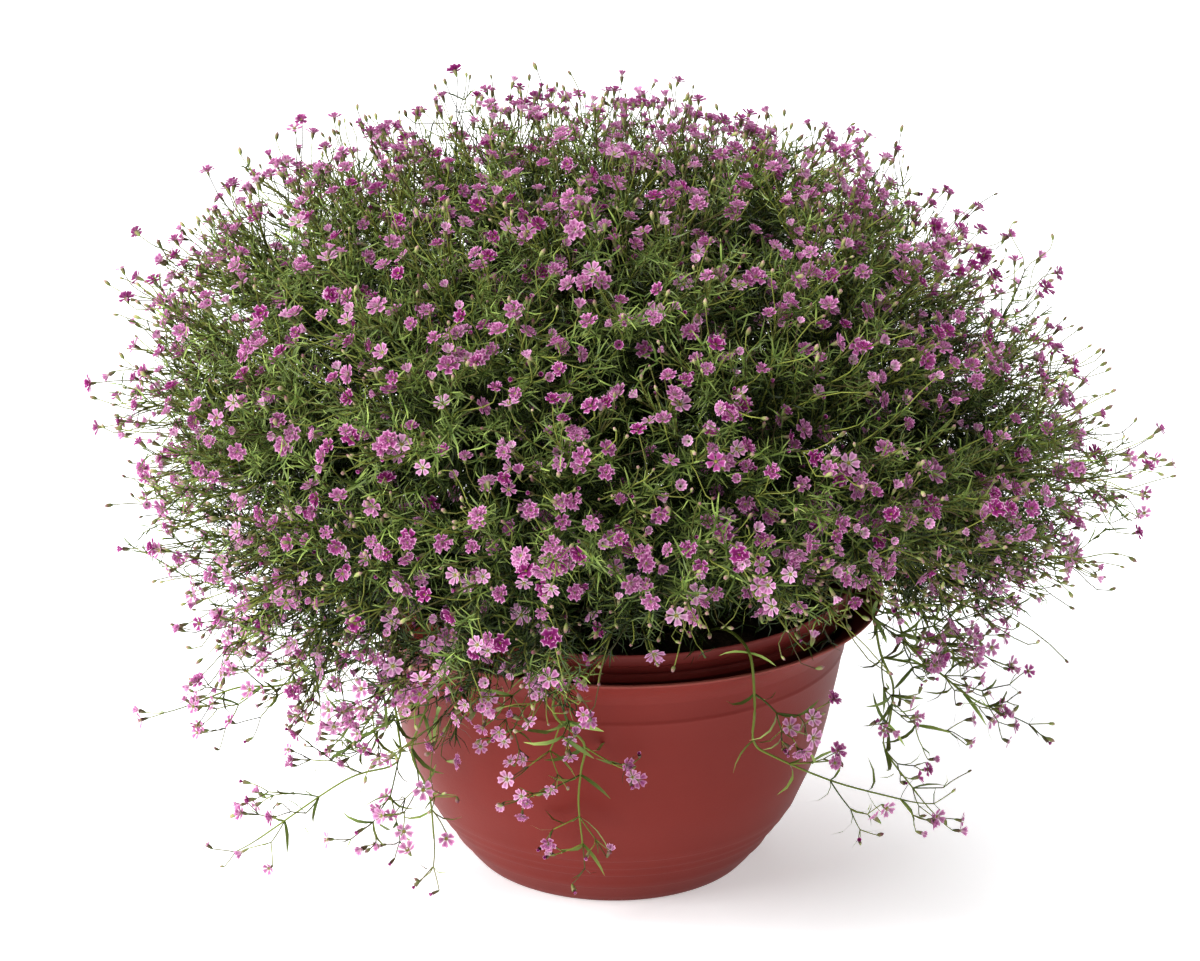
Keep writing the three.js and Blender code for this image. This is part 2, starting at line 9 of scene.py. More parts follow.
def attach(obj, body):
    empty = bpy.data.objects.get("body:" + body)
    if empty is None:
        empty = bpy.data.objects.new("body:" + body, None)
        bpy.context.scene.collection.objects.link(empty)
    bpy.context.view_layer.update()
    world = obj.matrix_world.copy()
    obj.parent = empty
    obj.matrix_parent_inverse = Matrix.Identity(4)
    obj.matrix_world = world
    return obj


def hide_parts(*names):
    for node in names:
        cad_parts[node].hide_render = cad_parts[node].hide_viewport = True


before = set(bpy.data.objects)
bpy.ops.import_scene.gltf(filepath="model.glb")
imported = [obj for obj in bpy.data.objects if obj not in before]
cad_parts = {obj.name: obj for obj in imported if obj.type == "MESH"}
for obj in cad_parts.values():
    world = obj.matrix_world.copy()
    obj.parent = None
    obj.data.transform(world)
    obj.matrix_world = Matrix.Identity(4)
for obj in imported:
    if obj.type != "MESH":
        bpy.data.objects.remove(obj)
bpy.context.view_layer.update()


def leaveEdit():
    if bpy.context.mode != "OBJECT":
        bpy.ops.object.mode_set(mode="OBJECT")
    bpy.ops.object.select_all(action="DESELECT")


def startEdit():
    # Edit mode with all of the mesh selected
    bpy.ops.object.mode_set(mode="EDIT")
    bpy.context.tool_settings.mesh_select_mode = (True, False, False)
    bpy.ops.mesh.select_all(action="SELECT")


def pickPoints(obj, wanted):
    # Selects the points whose place passes the test
    bpy.ops.mesh.select_all(action="DESELECT")
    mesh = bmesh.from_edit_mesh(obj.data)
    for point in mesh.verts:
        point.select = bool(wanted(point.co))
    mesh.select_flush(True)
    bmesh.update_edit_mesh(obj.data)


def settle(obj, name):
    # Applies the object's place to its mesh, and names both
    leaveEdit()
    obj.select_set(True)
    bpy.context.view_layer.objects.active = obj
    bpy.ops.object.transform_apply(location=True, rotation=True, scale=True)
    obj.name = name
    obj.data.name = name
    return obj


def applyModifier(obj, kind, **values):
    modifier = obj.modifiers.new(kind.title(), kind)
    for key, value in values.items():
        setattr(modifier, key, value)
    bpy.context.view_layer.objects.active = obj
    bpy.ops.object.modifier_apply(modifier=modifier.name)


def extrudeRings(profile, **pivot):
    # Extrudes and resizes the selected ring along a profile of radii and heights
    radius, height = profile[0]
    for nextRadius, nextHeight in profile[1:]:
        rise = (0, 0, nextHeight - height)
        bpy.ops.mesh.extrude_edges_move(TRANSFORM_OT_translate={"value": rise})
        share = nextRadius / radius
        bpy.ops.transform.resize(value=(share, share, 1), **pivot)
        radius, height = nextRadius, nextHeight


def turnedSolid(name, profile, segments):
    # A closed turned shape, with both ends of its profile filled
    leaveEdit()
    radius, height = profile[0]
    bpy.ops.mesh.primitive_circle_add(
        vertices=segments, radius=radius, fill_type="NGON", location=(0, 0, height)
    )
    obj = bpy.context.object
    startEdit()
    bpy.ops.mesh.flip_normals()
    extrudeRings(profile, center_override=(0, 0, 0))
    bpy.ops.mesh.edge_face_add()
    bpy.ops.mesh.select_all(action="SELECT")
    bpy.ops.mesh.remove_doubles(threshold=1e-6)
    bpy.ops.mesh.normals_make_consistent(inside=False)
    return settle(obj, name)


# Camera, floor and lights
photo = {
    "width": 1200,
    "focalPixels": 3269.75,
    "sensorWidth": 36,
    "distance": 1.5,
    "elevation": 19.6,
    "target": (-0.007, 0, 0.1817),
    "roll": 0.6,
}


def makeCamera():
    leaveEdit()
    elevation, roll = math.radians(photo["elevation"]), math.radians(photo["roll"])
    back = Vector((0, -math.cos(elevation), math.sin(elevation)))
    level, upright = Vector((1, 0, 0)), Vector((0, math.sin(elevation), math.cos(elevation)))
    right = level * math.cos(roll) + upright * math.sin(roll)
    up = upright * math.cos(roll) - level * math.sin(roll)
    bpy.ops.object.camera_add(location=Vector(photo["target"]) + back * photo["distance"])
    camera = bpy.context.object
    camera.rotation_euler = Matrix((right, up, back)).transposed().to_euler()
    camera.data.sensor_width = photo["sensorWidth"]
    camera.data.lens = photo["sensorWidth"] * photo["focalPixels"] / photo["width"]
    camera.data.clip_start = 0.05
    bpy.context.scene.camera = camera


stage = {
    "floorRadius": 14,
    "floorColour": (0.915, 0.93, 0.945, 1),
    # A little light of its own keeps the floor's soft shadow faint
    "floorGlow": 0.42,
    "white": (1, 1, 1, 1),
    "worldStrength": 0.22,
    "sunStrength": 4.1,
    "sunAngle": 20,
    "sunFrom": (-1.25, -0.75, 1.75),
    # Name, size, power in watts, place, what it points at
    "lamps": [
        ("fill", 1.6, 7, (1.9, -1.2, 1.4), (0, 0, 0.15)),
        ("side", 1.0, 42, (-1.9, -1.0, 0.75), (0, 0, 0.12)),
        ("rim", 1.4, 46, (0.3, 1.7, 2.1), (0, 0, 0.2)),
    ],
}


def makeStage():
    leaveEdit()
    bpy.ops.mesh.primitive_circle_add(vertices=96, radius=stage["floorRadius"], fill_type="NGON")
    floor = settle(bpy.context.object, "floor")
    material, tree, shader = newMaterial("studioFloor", roughness=0.9, specular=0.5)
    shader.inputs["Base Color"].default_value = stage["floorColour"]
    shader.inputs["Emission Color"].default_value = stage["white"]
    shader.inputs["Emission Strength"].default_value = stage["floorGlow"]
    floor.data.materials.append(material)

    world = bpy.data.worlds.new("studio")
    world.use_nodes = True
    tree = world.node_tree
    background = tree.nodes["Background"]
    background.inputs["Color"].default_value = stage["white"]
    # The camera sees the world white, while its light stays soft
    seen = addNode(tree, "ShaderNodeLightPath").outputs["Is Camera Ray"]
    strength = addRange(tree, seen, 0.0, 1.0, stage["worldStrength"], 1.0)
    tree.links.new(strength, background.inputs["Strength"])
    bpy.context.scene.world = world
    bpy.context.scene.view_settings.view_transform = "Standard"

    bpy.ops.object.light_add(type="SUN", location=stage["sunFrom"])
    sun = bpy.context.object
    sun.name = "key"
    sun.data.energy = stage["sunStrength"]
    sun.data.angle = math.radians(stage["sunAngle"])
    sun.rotation_euler = Vector(stage["sunFrom"]).to_track_quat("Z", "Y").to_euler()
    for name, size, power, place, target in stage["lamps"]:
        bpy.ops.object.light_add(type="AREA", location=place)
        lamp = bpy.context.object
        lamp.name = name
        lamp.data.shape = "DISK"
        lamp.data.size = size
        lamp.data.energy = power
        away = Vector(place) - Vector(target)
        lamp.rotation_euler = away.to_track_quat("Z", "Y").to_euler()


# Nodes and materials
def newGroup(name, inputs, outputs):
    group = bpy.data.node_groups.new(name, "ShaderNodeTree")
    for label, kind, value in inputs:
        socket = group.interface.new_socket(name=label, in_out="INPUT", socket_type=kind)
        if value is not None:
            socket.default_value = value
    for label, kind in outputs:
        group.interface.new_socket(name=label, in_out="OUTPUT", socket_type=kind)
    return group, group.nodes.new("NodeGroupInput"), group.nodes.new("NodeGroupOutput")


def newMaterial(name, roughness, specular):
    material = bpy.data.materials.new(name)
    material.use_nodes = True
    shader = material.node_tree.nodes["Principled BSDF"]
    shader.inputs["Roughness"].default_value = roughness
    shader.inputs["Specular IOR Level"].default_value = specular
    return material, material.node_tree, shader


def addNode(tree, kind, settings=(), values=()):
    node = tree.nodes.new(kind)
    for key, value in dict(settings).items():
        setattr(node, key, value)
    for key, value in dict(values).items():
        node.inputs[key].default_value = value
    return node


def feed(tree, sockets, values):
    # Links what comes from other nodes, and sets numbers and colours on the sockets themselves
    for socket, value in zip(sockets, values):
        if isinstance(value, (int, float, tuple)):
            socket.default_value = value
        else:
            tree.links.new(value, socket)


def addMath(tree, operation, *values):
    node = addNode(tree, "ShaderNodeMath", {"operation": operation})
    feed(tree, node.inputs, values)
    return node.outputs[0]


def addProduct(tree, first, *others):
    for other in others:
        first = addMath(tree, "MULTIPLY", first, other)
    return first


def addRange(tree, value, fromLow, fromHigh, toLow=0.0, toHigh=1.0):
    node = addNode(tree, "ShaderNodeMapRange")
    feed(tree, node.inputs, (value, fromLow, fromHigh, toLow, toHigh))
    return node.outputs[0]


def addMix(tree, share, first, second):
    node = addNode(tree, "ShaderNodeMix", {"data_type": "RGBA"})
    feed(tree, (node.inputs[0], node.inputs[6], node.inputs[7]), (share, first, second))
    return node.outputs[2]


def addRamp(tree, share, stops):
    node = addNode(tree, "ShaderNodeValToRGB")
    ramp = node.color_ramp
    while len(ramp.elements) < len(stops):
        ramp.elements.new(0.5)
    for element, (place, colour) in zip(ramp.elements, sorted(stops)):
        element.position = place
        element.color = (*colour, 1)
    tree.links.new(share, node.inputs["Fac"])
    return node.outputs["Color"]


def objectPlace(tree):
    return addNode(tree, "ShaderNodeTexCoord").outputs["Object"]


def addNoise(tree, place, **values):
    node = addNode(tree, "ShaderNodeTexNoise", values=values)
    tree.links.new(place, node.inputs["Vector"])
    return node


def addBump(tree, shader, height, strength, distance):
    bump = addNode(tree, "ShaderNodeBump", values={"Strength": strength, "Distance": distance})
    tree.links.new(height, bump.inputs["Height"])
    tree.links.new(bump.outputs["Normal"], shader.inputs["Normal"])


def makePlasticGroup():
    # Moulded plastic: cloudy colour, a fine grain, and shine that varies with the clouds
    group, source, result = newGroup(
        "mouldedPlastic",
        [
            ("Colour", "NodeSocketColor", None),
            ("Worn", "NodeSocketColor", None),
            ("Grain", "NodeSocketFloat", 900.0),
            ("Shine", "NodeSocketFloat", 0.5),
        ],
        [
            ("Colour", "NodeSocketColor"),
            ("Roughness", "NodeSocketFloat"),
            ("Height", "NodeSocketFloat"),
        ],
    )
    place = objectPlace(group)
    cloud = addNoise(group, place, Scale=14.0, Detail=5.0, Roughness=0.6).outputs["Fac"]
    grain = addNoise(group, place, Detail=2.0)
    worn = addRange(group, cloud, 0.25, 0.875)
    rough = addProduct(group, addMath(group, "SUBTRACT", cloud, 0.5), 0.16)
    colour = addMix(group, worn, source.outputs["Colour"], source.outputs["Worn"])
    for value, socket in (
        (source.outputs["Grain"], grain.inputs["Scale"]),
        (colour, result.inputs["Colour"]),
        (addMath(group, "ADD", rough, source.outputs["Shine"]), result.inputs["Roughness"]),
        (grain.outputs["Fac"], result.inputs["Height"]),
    ):
        group.links.new(value, socket)
    return group


def makePlastic(pot):
    # The thin lip of the rim is paler: a painted highlight along its edge
    material, tree, shader = newMaterial(pot["material"], roughness=pot["shine"], specular=0.14)
    group = addNode(tree, "ShaderNodeGroup", {"node_tree": plasticGroup})
    group.inputs["Colour"].default_value = (*pot["colour"], 1)
    group.inputs["Worn"].default_value = (*pot["worn"], 1)
    group.inputs["Shine"].default_value = pot["shine"]
    split = addNode(tree, "ShaderNodeSeparateXYZ")
    tree.links.new(objectPlace(tree), split.inputs[0])
    rimHeight, rimDepth = pot["rimPlace"]
    rimHighlight = addProduct(tree, addRange(tree, split.outputs["Z"], rimHeight - rimDepth, rimHeight), 0.6)
    colour = addMix(tree, rimHighlight, group.outputs["Colour"], (*pot["rim"], 1))
    tree.links.new(colour, shader.inputs["Base Color"])
    tree.links.new(group.outputs["Roughness"], shader.inputs["Roughness"])
    addBump(tree, shader, group.outputs["Height"], strength=0.12, distance=0.0006)
    return material


def makeSoilMaterial():
    material, tree, shader = newMaterial("pottingSoil", roughness=0.95, specular=0.2)
    lumps = addNoise(tree, objectPlace(tree), Scale=260.0, Detail=6.0, Roughness=0.7).outputs["Fac"]
    tree.links.new(addRamp(tree, lumps, soil["colours"]), shader.inputs["Base Color"])
    addBump(tree, shader, lumps, strength=0.7, distance=0.002)
    return material


# The maps of green parts and petals are strips side by side, one for each shade: a strip's place
# tells the shade, the way across it runs across the part, and the way up it runs along the part
strips = {"count": 8, "margin": 0.08, "map": "OFBake"}
bands = {
    "stem": (0.01, 0.21),
    "leaf": (0.26, 0.5),
    "calyx": (0.55, 0.7),
    "bud": (0.75, 0.98),
    "petal": (0.02, 0.8),
    "eye": (0.85, 0.98),
}


def makeStripGroup():
    group, source, result = newGroup(
        "shadeStrips",
        [("Map", "NodeSocketVector", None)],
        [(name, "NodeSocketFloat") for name in ("Shade", "Across", "Along")],
    )
    split = addNode(group, "ShaderNodeSeparateXYZ")
    group.links.new(source.outputs["Map"], split.inputs[0])
    wide = addProduct(group, split.outputs["X"], float(strips["count"]))
    shade = addMath(group, "DIVIDE", addMath(group, "FLOOR", wide), strips["count"] - 1.0)
    group.links.new(shade, result.inputs["Shade"])
    group.links.new(addMath(group, "FRACT", wide), result.inputs["Across"])
    group.links.new(split.outputs["Y"], result.inputs["Along"])
    return group


def addStrips(tree):
    # The shade, how far from the part's middle line, and how far along
    group = addNode(tree, "ShaderNodeGroup", {"node_tree": stripGroup})
    place = addNode(tree, "ShaderNodeUVMap", {"uv_map": strips["map"]})
    tree.links.new(place.outputs[0], group.inputs[0])
    aside = addMath(tree, "ABSOLUTE", addMath(tree, "SUBTRACT", group.outputs["Across"], 0.5))
    return group.outputs["Shade"], aside, group.outputs["Along"]


greens = {
    # Colours along each band of the map, for the darkest shade and for the lightest one. Shades
    # differ at random from copy to copy, but the darkest leaf colour is partly painted shade, and
    # the lightest one partly a painted sheen
    "dark": [
        (0.0, (0.05, 0.06, 0.014)),
        (0.1, (0.05, 0.075, 0.014)),
        (0.21, (0.055, 0.04, 0.018)),
        (0.26, (0.003, 0.006, 0.001)),
        (0.5, (0.01, 0.021, 0.002)),
        (0.55, (0.06, 0.1, 0.02)),
        (0.7, (0.13, 0.07, 0.06)),
        (0.75, (0.06, 0.1, 0.022)),
        (0.87, (0.11, 0.09, 0.035)),
        (0.98, (0.16, 0.03, 0.08)),
    ],
    "light": [
        (0.0, (0.11, 0.12, 0.028)),
        (0.1, (0.17, 0.22, 0.03)),
        (0.21, (0.22, 0.25, 0.045)),
        (0.26, (0.11, 0.2, 0.03)),
        (0.5, (0.4, 0.5, 0.13)),
        (0.55, (0.16, 0.24, 0.045)),
        (0.7, (0.24, 0.2, 0.1)),
        (0.75, (0.22, 0.3, 0.07)),
        (0.87, (0.34, 0.36, 0.13)),
        (0.98, (0.46, 0.22, 0.28)),
    ],
    # A paler rib along the middle of each leaf: colour, half its width, strength, where it runs
    "rib": (0.13, 0.2, 0.05, 1),
    "ribWidth": 0.07,
    "ribShare": 0.45,
    "ribBand": (0.24, 0.52),
}


def makeGreen():
    material, tree, shader = newMaterial("wiryGreen", roughness=0.42, specular=0.11)
    shade, aside, along = addStrips(tree)
    # Dark and light colours, partly painted shade and painted sheen, mixed by each copy's shade
    dark, light = (addRamp(tree, along, greens[name]) for name in ("dark", "light"))
    colour = addMix(tree, shade, dark, light)
    low, high = greens["ribBand"]
    rib = addProduct(
        tree,
        addMath(tree, "LESS_THAN", aside, greens["ribWidth"]),
        addMath(tree, "GREATER_THAN", along, low),
        addMath(tree, "LESS_THAN", along, high),
        greens["ribShare"],
    )
    tree.links.new(addMix(tree, rib, colour, greens["rib"]), shader.inputs["Base Color"])
    return material


pinks = {
    # Colours from a petal's base to its tip, in the palest shade and in the deepest one
    "pale": [
        (0.0, (0.45, 0.46, 0.14)),
        (0.13, (0.8, 0.68, 0.7)),
        (0.36, (0.74, 0.38, 0.6)),
        (0.8, (0.9, 0.5, 0.76)),
    ],
    "deep": [
        (0.0, (0.2, 0.1, 0.05)),
        (0.12, (0.26, 0.04, 0.15)),
        (0.36, (0.3, 0.03, 0.18)),
        (0.8, (0.53, 0.1, 0.36)),
    ],
    "eye": [(0.84, (0.2, 0.22, 0.03)), (0.92, (0.4, 0.38, 0.06)), (0.98, (0.5, 0.42, 0.18))],
    # A darker stripe along the middle of each petal: a vein, and in the deeper shades
    # painted shade as well. How strong it is in the palest and the deepest shade, how it fades to
    # its sides, where it starts, and how it fades before the tip
    "stripe": (0.27, 0.014, 0.17, 1),
    "stripeShares": (0.55, 0.9),
    "stripeSides": (0.3, 0.05),
    "stripeStart": (0.12, 0.24),
    "stripeFade": (0.8, 0.5),
    # The deeper shades are paler at the tips of their petals: a painted highlight
    "tip": (1.0, 0.7, 0.88, 1),
    "tipFade": (0.62, 0.8),
    "tipShare": 0.85,
    "petalEnd": 0.82,
    # Thin petals let some light through
    "through": 0.45,
}


def makePink():
    material, tree, shader = newMaterial("veinedPetal", roughness=0.55, specular=0.1)
    shade, aside, along = addStrips(tree)
    pale, deep = (addRamp(tree, along, pinks[name] + pinks["eye"]) for name in ("pale", "deep"))
    colour = addMix(tree, shade, pale, deep)
    # The vein along each petal's middle, stronger in the deeper shades, where it is painted shade
    # as well
    stripe = addProduct(
        tree,
        addRange(tree, aside, *pinks["stripeSides"]),
        addRange(tree, shade, 0.0, 1.0, *pinks["stripeShares"]),
        addRange(tree, along, *pinks["stripeFade"]),
        addRange(tree, along, *pinks["stripeStart"]),
    )
    colour = addMix(tree, stripe, colour, pinks["stripe"])
    # Painted highlight: the deeper shades turn paler towards the tips of their petals
    tip = addProduct(
        tree,
        addRange(tree, along, *pinks["tipFade"], 0.0, pinks["tipShare"]),
        shade,
        addMath(tree, "LESS_THAN", along, pinks["petalEnd"]),
    )
    colour = addMix(tree, tip, colour, pinks["tip"])
    tree.links.new(colour, shader.inputs["Base Color"])
    through = addNode(tree, "ShaderNodeBsdfTranslucent")
    tree.links.new(colour, through.inputs["Color"])
    both = addNode(tree, "ShaderNodeMixShader")
    feed(tree, both.inputs, (pinks["through"], shader.outputs[0], through.outputs[0]))
    tree.links.new(both.outputs[0], tree.nodes["Material Output"].inputs["Surface"])
    return material


bowl = {
    "segments": 112,
    "bevel": 0.0005,
    "material": "terracottaPlastic",
    "colour": (0.15, 0.0125, 0.008),
    "worn": (0.175, 0.018, 0.012),
    "rim": (0.42, 0.13, 0.1),
    # Height of the rim, and how deep its paler lip, a painted highlight, is
    "rimPlace": (0.1329, 0.0016),
    "shine": 0.5,
    # Radius and height in millimetres, from the middle of the base round the outside to the
    # floor inside
    "profile": [
        (2, 0), (9, 0), (9.6, 1.3), (57.4, 1.3), (58, 0), (63, 0), (66, 0.8), (69.6, 5),
        (73.2, 11.2), (75, 11.5), (77, 15.2), (79, 20), (80.8, 20.3), (81.8, 22.6), (82.8, 25.2),
        (84.4, 25.5),
        (85.2, 27.6), (86.4, 30.6), (87.6, 30.9), (89.2, 35), (91.8, 41.4), (94.5, 48), (97, 54.8),
        (99, 62), (101.4, 73), (103.5, 85), (105.4, 95), (107, 105), (107.8, 106.6), (107.4, 108.2),
        (108, 112.4), (109, 117), (111.4, 121), (114.5, 124.5), (119.6, 128.6), (124.4, 131.3),
        (125, 132), (124.6, 132.8), (123.6, 132.9), (118, 129.5), (112.4, 125.6), (108.8, 121.4),
        (106.8, 117.6), (104.6, 104), (100, 76), (96.8, 62.5), (92.6, 50), (85.2, 35.8), (76, 20),
        (65, 3.5), (2, 3.5),
    ],
    # Where its outer wall starts and ends in the profile
    "outerWall": (5, 38),
}
liner = {
    "segments": 96,
    "bevel": 0.00023,
    "material": "innerPotPlastic",
    "colour": (0.2, 0.024, 0.02),
    "worn": (0.23, 0.032, 0.026),
    # The paler lip at the rim is a painted highlight
    "rim": (0.34, 0.08, 0.07),
    "rimPlace": (0.141, 0.0016),
    "shine": 0.42,
    "profile": [
        (2, 3.8), (60, 3.8), (61, 4.4), (73.6, 38), (89.2, 80), (101, 112), (106.4, 126.8),
        (110, 127.8), (110.4, 128.6), (110.4, 131), (109.8, 131.4), (109.8, 132.2), (110.4, 132.6),
        (110.4, 135.4), (111, 136.2), (111, 140.2), (110.4, 141), (109.9, 141), (109.4, 140.4),
        (109, 129), (105, 126.6), (99.4, 112), (87.6, 80), (72, 38), (59.6, 5.4), (2, 5.4),
    ],
    # Drain holes through its floor
    "holes": 4,
    "holeRadius": 0.0055,
    "holeReach": 0.036,
    "holeHeight": 0.0046,
}
soil = {
    "radius": 0.1025,
    "edgeHeight": 0.123,
    "middleHeight": 0.1302,
    "rings": 26,
    "depth": 0.03,
    "lumps": 0.0032,
    "lumpSize": 0.009,
    "crumbs": 260,
    "crumbSizes": (0.0008, 0.0024),
    "crumbSink": 0.0012,
    "seed": 5,
    "colours": [
        (0.3, (0.012, 0.007, 0.004)),
        (0.55, (0.05, 0.03, 0.018)),
        (0.75, (0.11, 0.072, 0.045)),
    ],
}


def outwardAt(turn):
    return np.array([math.cos(turn), math.sin(turn), 0])


def makePot(name, pot):
    profile = [(radius / 1000, height / 1000) for radius, height in pot["profile"]]
    piece = turnedSolid(name, profile, pot["segments"])
    sharp = math.radians(18)
    applyModifier(
        piece, "BEVEL", width=pot["bevel"], segments=2, limit_method="ANGLE", angle_limit=sharp
    )
    bpy.ops.object.shade_smooth_by_angle(angle=math.radians(35))
    piece.data.materials.append(makePlastic(pot))
    return piece


def makeBowl():
    piece = makePot("planter_bowl", bowl)
    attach(piece, "root")
    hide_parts("bowl")


def makeLiner():
    piece = makePot("inner_pot", liner)
    for i in range(liner["holes"]):
        place = liner["holeReach"] * outwardAt(2 * math.pi * (i + 0.5) / liner["holes"])
        place[2] = liner["holeHeight"]
        leaveEdit()
        bpy.ops.mesh.primitive_cylinder_add(
            vertices=20, radius=liner["holeRadius"], depth=0.02, location=place
        )
        drill = bpy.context.object
        applyModifier(piece, "BOOLEAN", object=drill, operation="DIFFERENCE", solver="EXACT")
        bpy.data.objects.remove(drill)
    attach(piece, "root")
    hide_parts("liner")


def makeSoil():
    # A slab with a lumpy top, and loose crumbs pressed into it
    radius, edge, rings = soil["radius"], soil["edgeHeight"], soil["rings"]
    rise = (soil["middleHeight"] - edge) / (rings - 1)
    profile = [(radius, edge - soil["depth"])]
    profile += [(radius * (rings - i) / rings, edge + rise * i) for i in range(rings)]
    obj = turnedSolid("soil_surface", profile, 90)
    lumps = bpy.data.textures.new("lumps", "CLOUDS")
    lumps.noise_scale = soil["lumpSize"]
    top = obj.vertex_groups.new(name="top")
    for point in obj.data.vertices:
        if point.co.z > edge + 0.0001 and point.co.xy.length < radius - 0.002:
            top.add([point.index], 1, "REPLACE")
    applyModifier(
        obj, "DISPLACE", texture=lumps, strength=soil["lumps"], mid_level=0.8, vertex_group="top"
    )
    rng = np.random.RandomState(soil["seed"])
    leaveEdit()
    bpy.ops.mesh.primitive_ico_sphere_add(subdivisions=1, radius=1)
    crumb = readShape(bpy.context.object)
    matrices = []
    for _ in range(soil["crumbs"]):
        reach, turn = radius * 0.95 * math.sqrt(rng.rand()), rng.rand() * 2 * math.pi
        height = np.interp(reach, (0, radius), (soil["middleHeight"], edge)) - soil["crumbSink"]
        size = rng.uniform(*soil["crumbSizes"])
        matrices.append(np.array(Matrix.LocRotScale(
            Vector((reach * math.cos(turn), reach * math.sin(turn), height)),
            Matrix.Rotation(rng.rand() * 6.28, 3, "X") @ Matrix.Rotation(rng.rand() * 6.28, 3, "Z"),
            Vector((size, size * rng.uniform(0.6, 1), size * rng.uniform(0.6, 1))),
        )))
    crumbs = newBatch()
    addCopies(crumbs, crumb, np.array(matrices), np.zeros(len(matrices), int), (0, 1))
    loose = meshFrom("soil_crumbs", crumbs)
    leaveEdit()
    loose.select_set(True)
    obj.select_set(True)
    bpy.context.view_layer.objects.active = obj
    bpy.ops.object.join()
    obj.data.materials.append(makeSoilMaterial())
    bpy.ops.object.shade_smooth_by_angle(angle=math.radians(50))
    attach(obj, "root")
    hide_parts("soil")


# Shapes as arrays, and copies of them gathered into one mesh for each piece
shapeParts = ("points", "corners", "starts", "places")


def readShape(obj):
    leaveEdit()
    mesh = obj.data
    points = np.zeros(len(mesh.vertices) * 3)
    mesh.vertices.foreach_get("co", points)
    corners = np.zeros(len(mesh.loops), int)
    mesh.loops.foreach_get("vertex_index", corners)
    starts = np.zeros(len(mesh.polygons), int)
    mesh.polygons.foreach_get("loop_start", starts)
    places = np.full(len(mesh.loops) * 2, 0.5)
    if mesh.uv_layers:
        mesh.uv_layers[0].data.foreach_get("uv", places)
    bpy.data.objects.remove(obj)
    return dict(zip(shapeParts, (points.reshape(-1, 3), corners, starts, places.reshape(-1, 2))))


def newBatch():
    return {**{key: [] for key in shapeParts}, "pointCount": 0, "cornerCount": 0}


def addArrays(batch, points, corners, starts, places):
    batch["points"].append(points)
    batch["corners"].append(corners + batch["pointCount"])
    batch["starts"].append(starts + batch["cornerCount"])
    batch["places"].append(places)
    batch["pointCount"] += len(points)
    batch["cornerCount"] += len(corners)


def asShape(batch):
    return {key: np.concatenate(batch[key]) for key in shapeParts}


def joinShapes(shapes):
    batch = newBatch()
    for shape in shapes:
        addArrays(batch, **shape)
    return asShape(batch)


def stripPlaces(across, along, shades, band):
    margin, (low, high) = strips["margin"], band
    inStrip = margin + (1 - 2 * margin) * across
    return np.stack([(shades + inStrip) / strips["count"], low + (high - low) * along], -1)


def addCopies(batch, shape, matrices, shades, band):
    count = len(matrices)
    if not count:
        return
    points = np.einsum("kij,nj->kni", matrices[:, :3, :3], shape["points"])
    points = points + matrices[:, None, :3, 3]
    step = np.arange(count)[:, None]
    corners = shape["corners"] + len(shape["points"]) * step
    starts = shape["starts"] + len(shape["corners"]) * step
    across, along = (np.repeat(shape["places"][None, :, k], count, 0) for k in (0, 1))
    places = stripPlaces(across, along, shades[:, None], band)
    addArrays(batch, points.reshape(-1, 3), corners.ravel(), starts.ravel(), places.reshape(-1, 2))


def unit(vectors):
    return vectors / np.maximum(np.linalg.norm(vectors, axis=-1, keepdims=True), 1e-9)


def squareTo(directions, hints):
    return unit(hints - directions * (hints * directions).sum(-1, keepdims=True))


def addStems(batch, paths, thickness, shades, alongs, sides=3):
    # Closed tubes along paths of the same number of points: all arrays have one row for each stem
    count, steps = paths.shape[:2]
    tangents = unit(np.gradient(paths, axis=1))
    overall = unit(paths[:, -1] - paths[:, 0])
    hints = np.where(np.abs(overall[:, 2:3]) < 0.8, [[0.0, 0.0, 1.0]], [[1.0, 0.0, 0.0]])
    across = squareTo(tangents, np.repeat(hints[:, None], steps, 1))
    upward = np.cross(tangents, across)
    turns = (2 * math.pi * np.arange(sides) / sides)[:, None]
    offsets = across[:, :, None] * np.cos(turns) + upward[:, :, None] * np.sin(turns)
    points = paths[:, :, None] + offsets * thickness[:, :, None, None]
    step, side = np.meshgrid(np.arange(steps - 1), np.arange(sides), indexing="ij")
    near, beside = step * sides + side, step * sides + (side + 1) % sides
    walls = np.stack([near, beside, beside + sides, near + sides], -1)
    foot = np.arange(sides)[::-1]
    corners = np.concatenate([walls.ravel(), foot, (steps - 1) * sides + np.arange(sides)])
    starts = np.concatenate([np.arange(0, walls.size, 4), [walls.size, walls.size + sides]])
    pointStep = (corners // sides) / (steps - 1)
    along = alongs[:, :1] + (alongs[:, 1:] - alongs[:, :1]) * pointStep[None]
    aside = np.full((count, len(corners)), 0.25)
    places = stripPlaces(aside, along, shades[:, None], bands["stem"])
    stem = np.arange(count)[:, None]
    corners, starts = corners + steps * sides * stem, starts + len(corners) * stem
    addArrays(batch, points.reshape(-1, 3), corners.ravel(), starts.ravel(), places.reshape(-1, 2))


def meshFrom(name, batch):
    shape = asShape(batch)
    mesh = bpy.data.meshes.new(name)
    mesh.vertices.add(len(shape["points"]))
    mesh.vertices.foreach_set("co", shape["points"].astype(np.float32).ravel())
    mesh.loops.add(len(shape["corners"]))
    mesh.loops.foreach_set("vertex_index", shape["corners"].astype(np.int32))
    mesh.polygons.add(len(shape["starts"]))
    mesh.polygons.foreach_set("loop_start", shape["starts"].astype(np.int32))
    mesh.update(calc_edges=True)
    layer = mesh.uv_layers.new(name=strips["map"])
    layer.data.foreach_set("uv", shape["places"].astype(np.float32).ravel())
    mesh.validate()
    mesh.shade_smooth()
    obj = bpy.data.objects.new(name, mesh)
    bpy.context.scene.collection.objects.link(obj)
    return obj


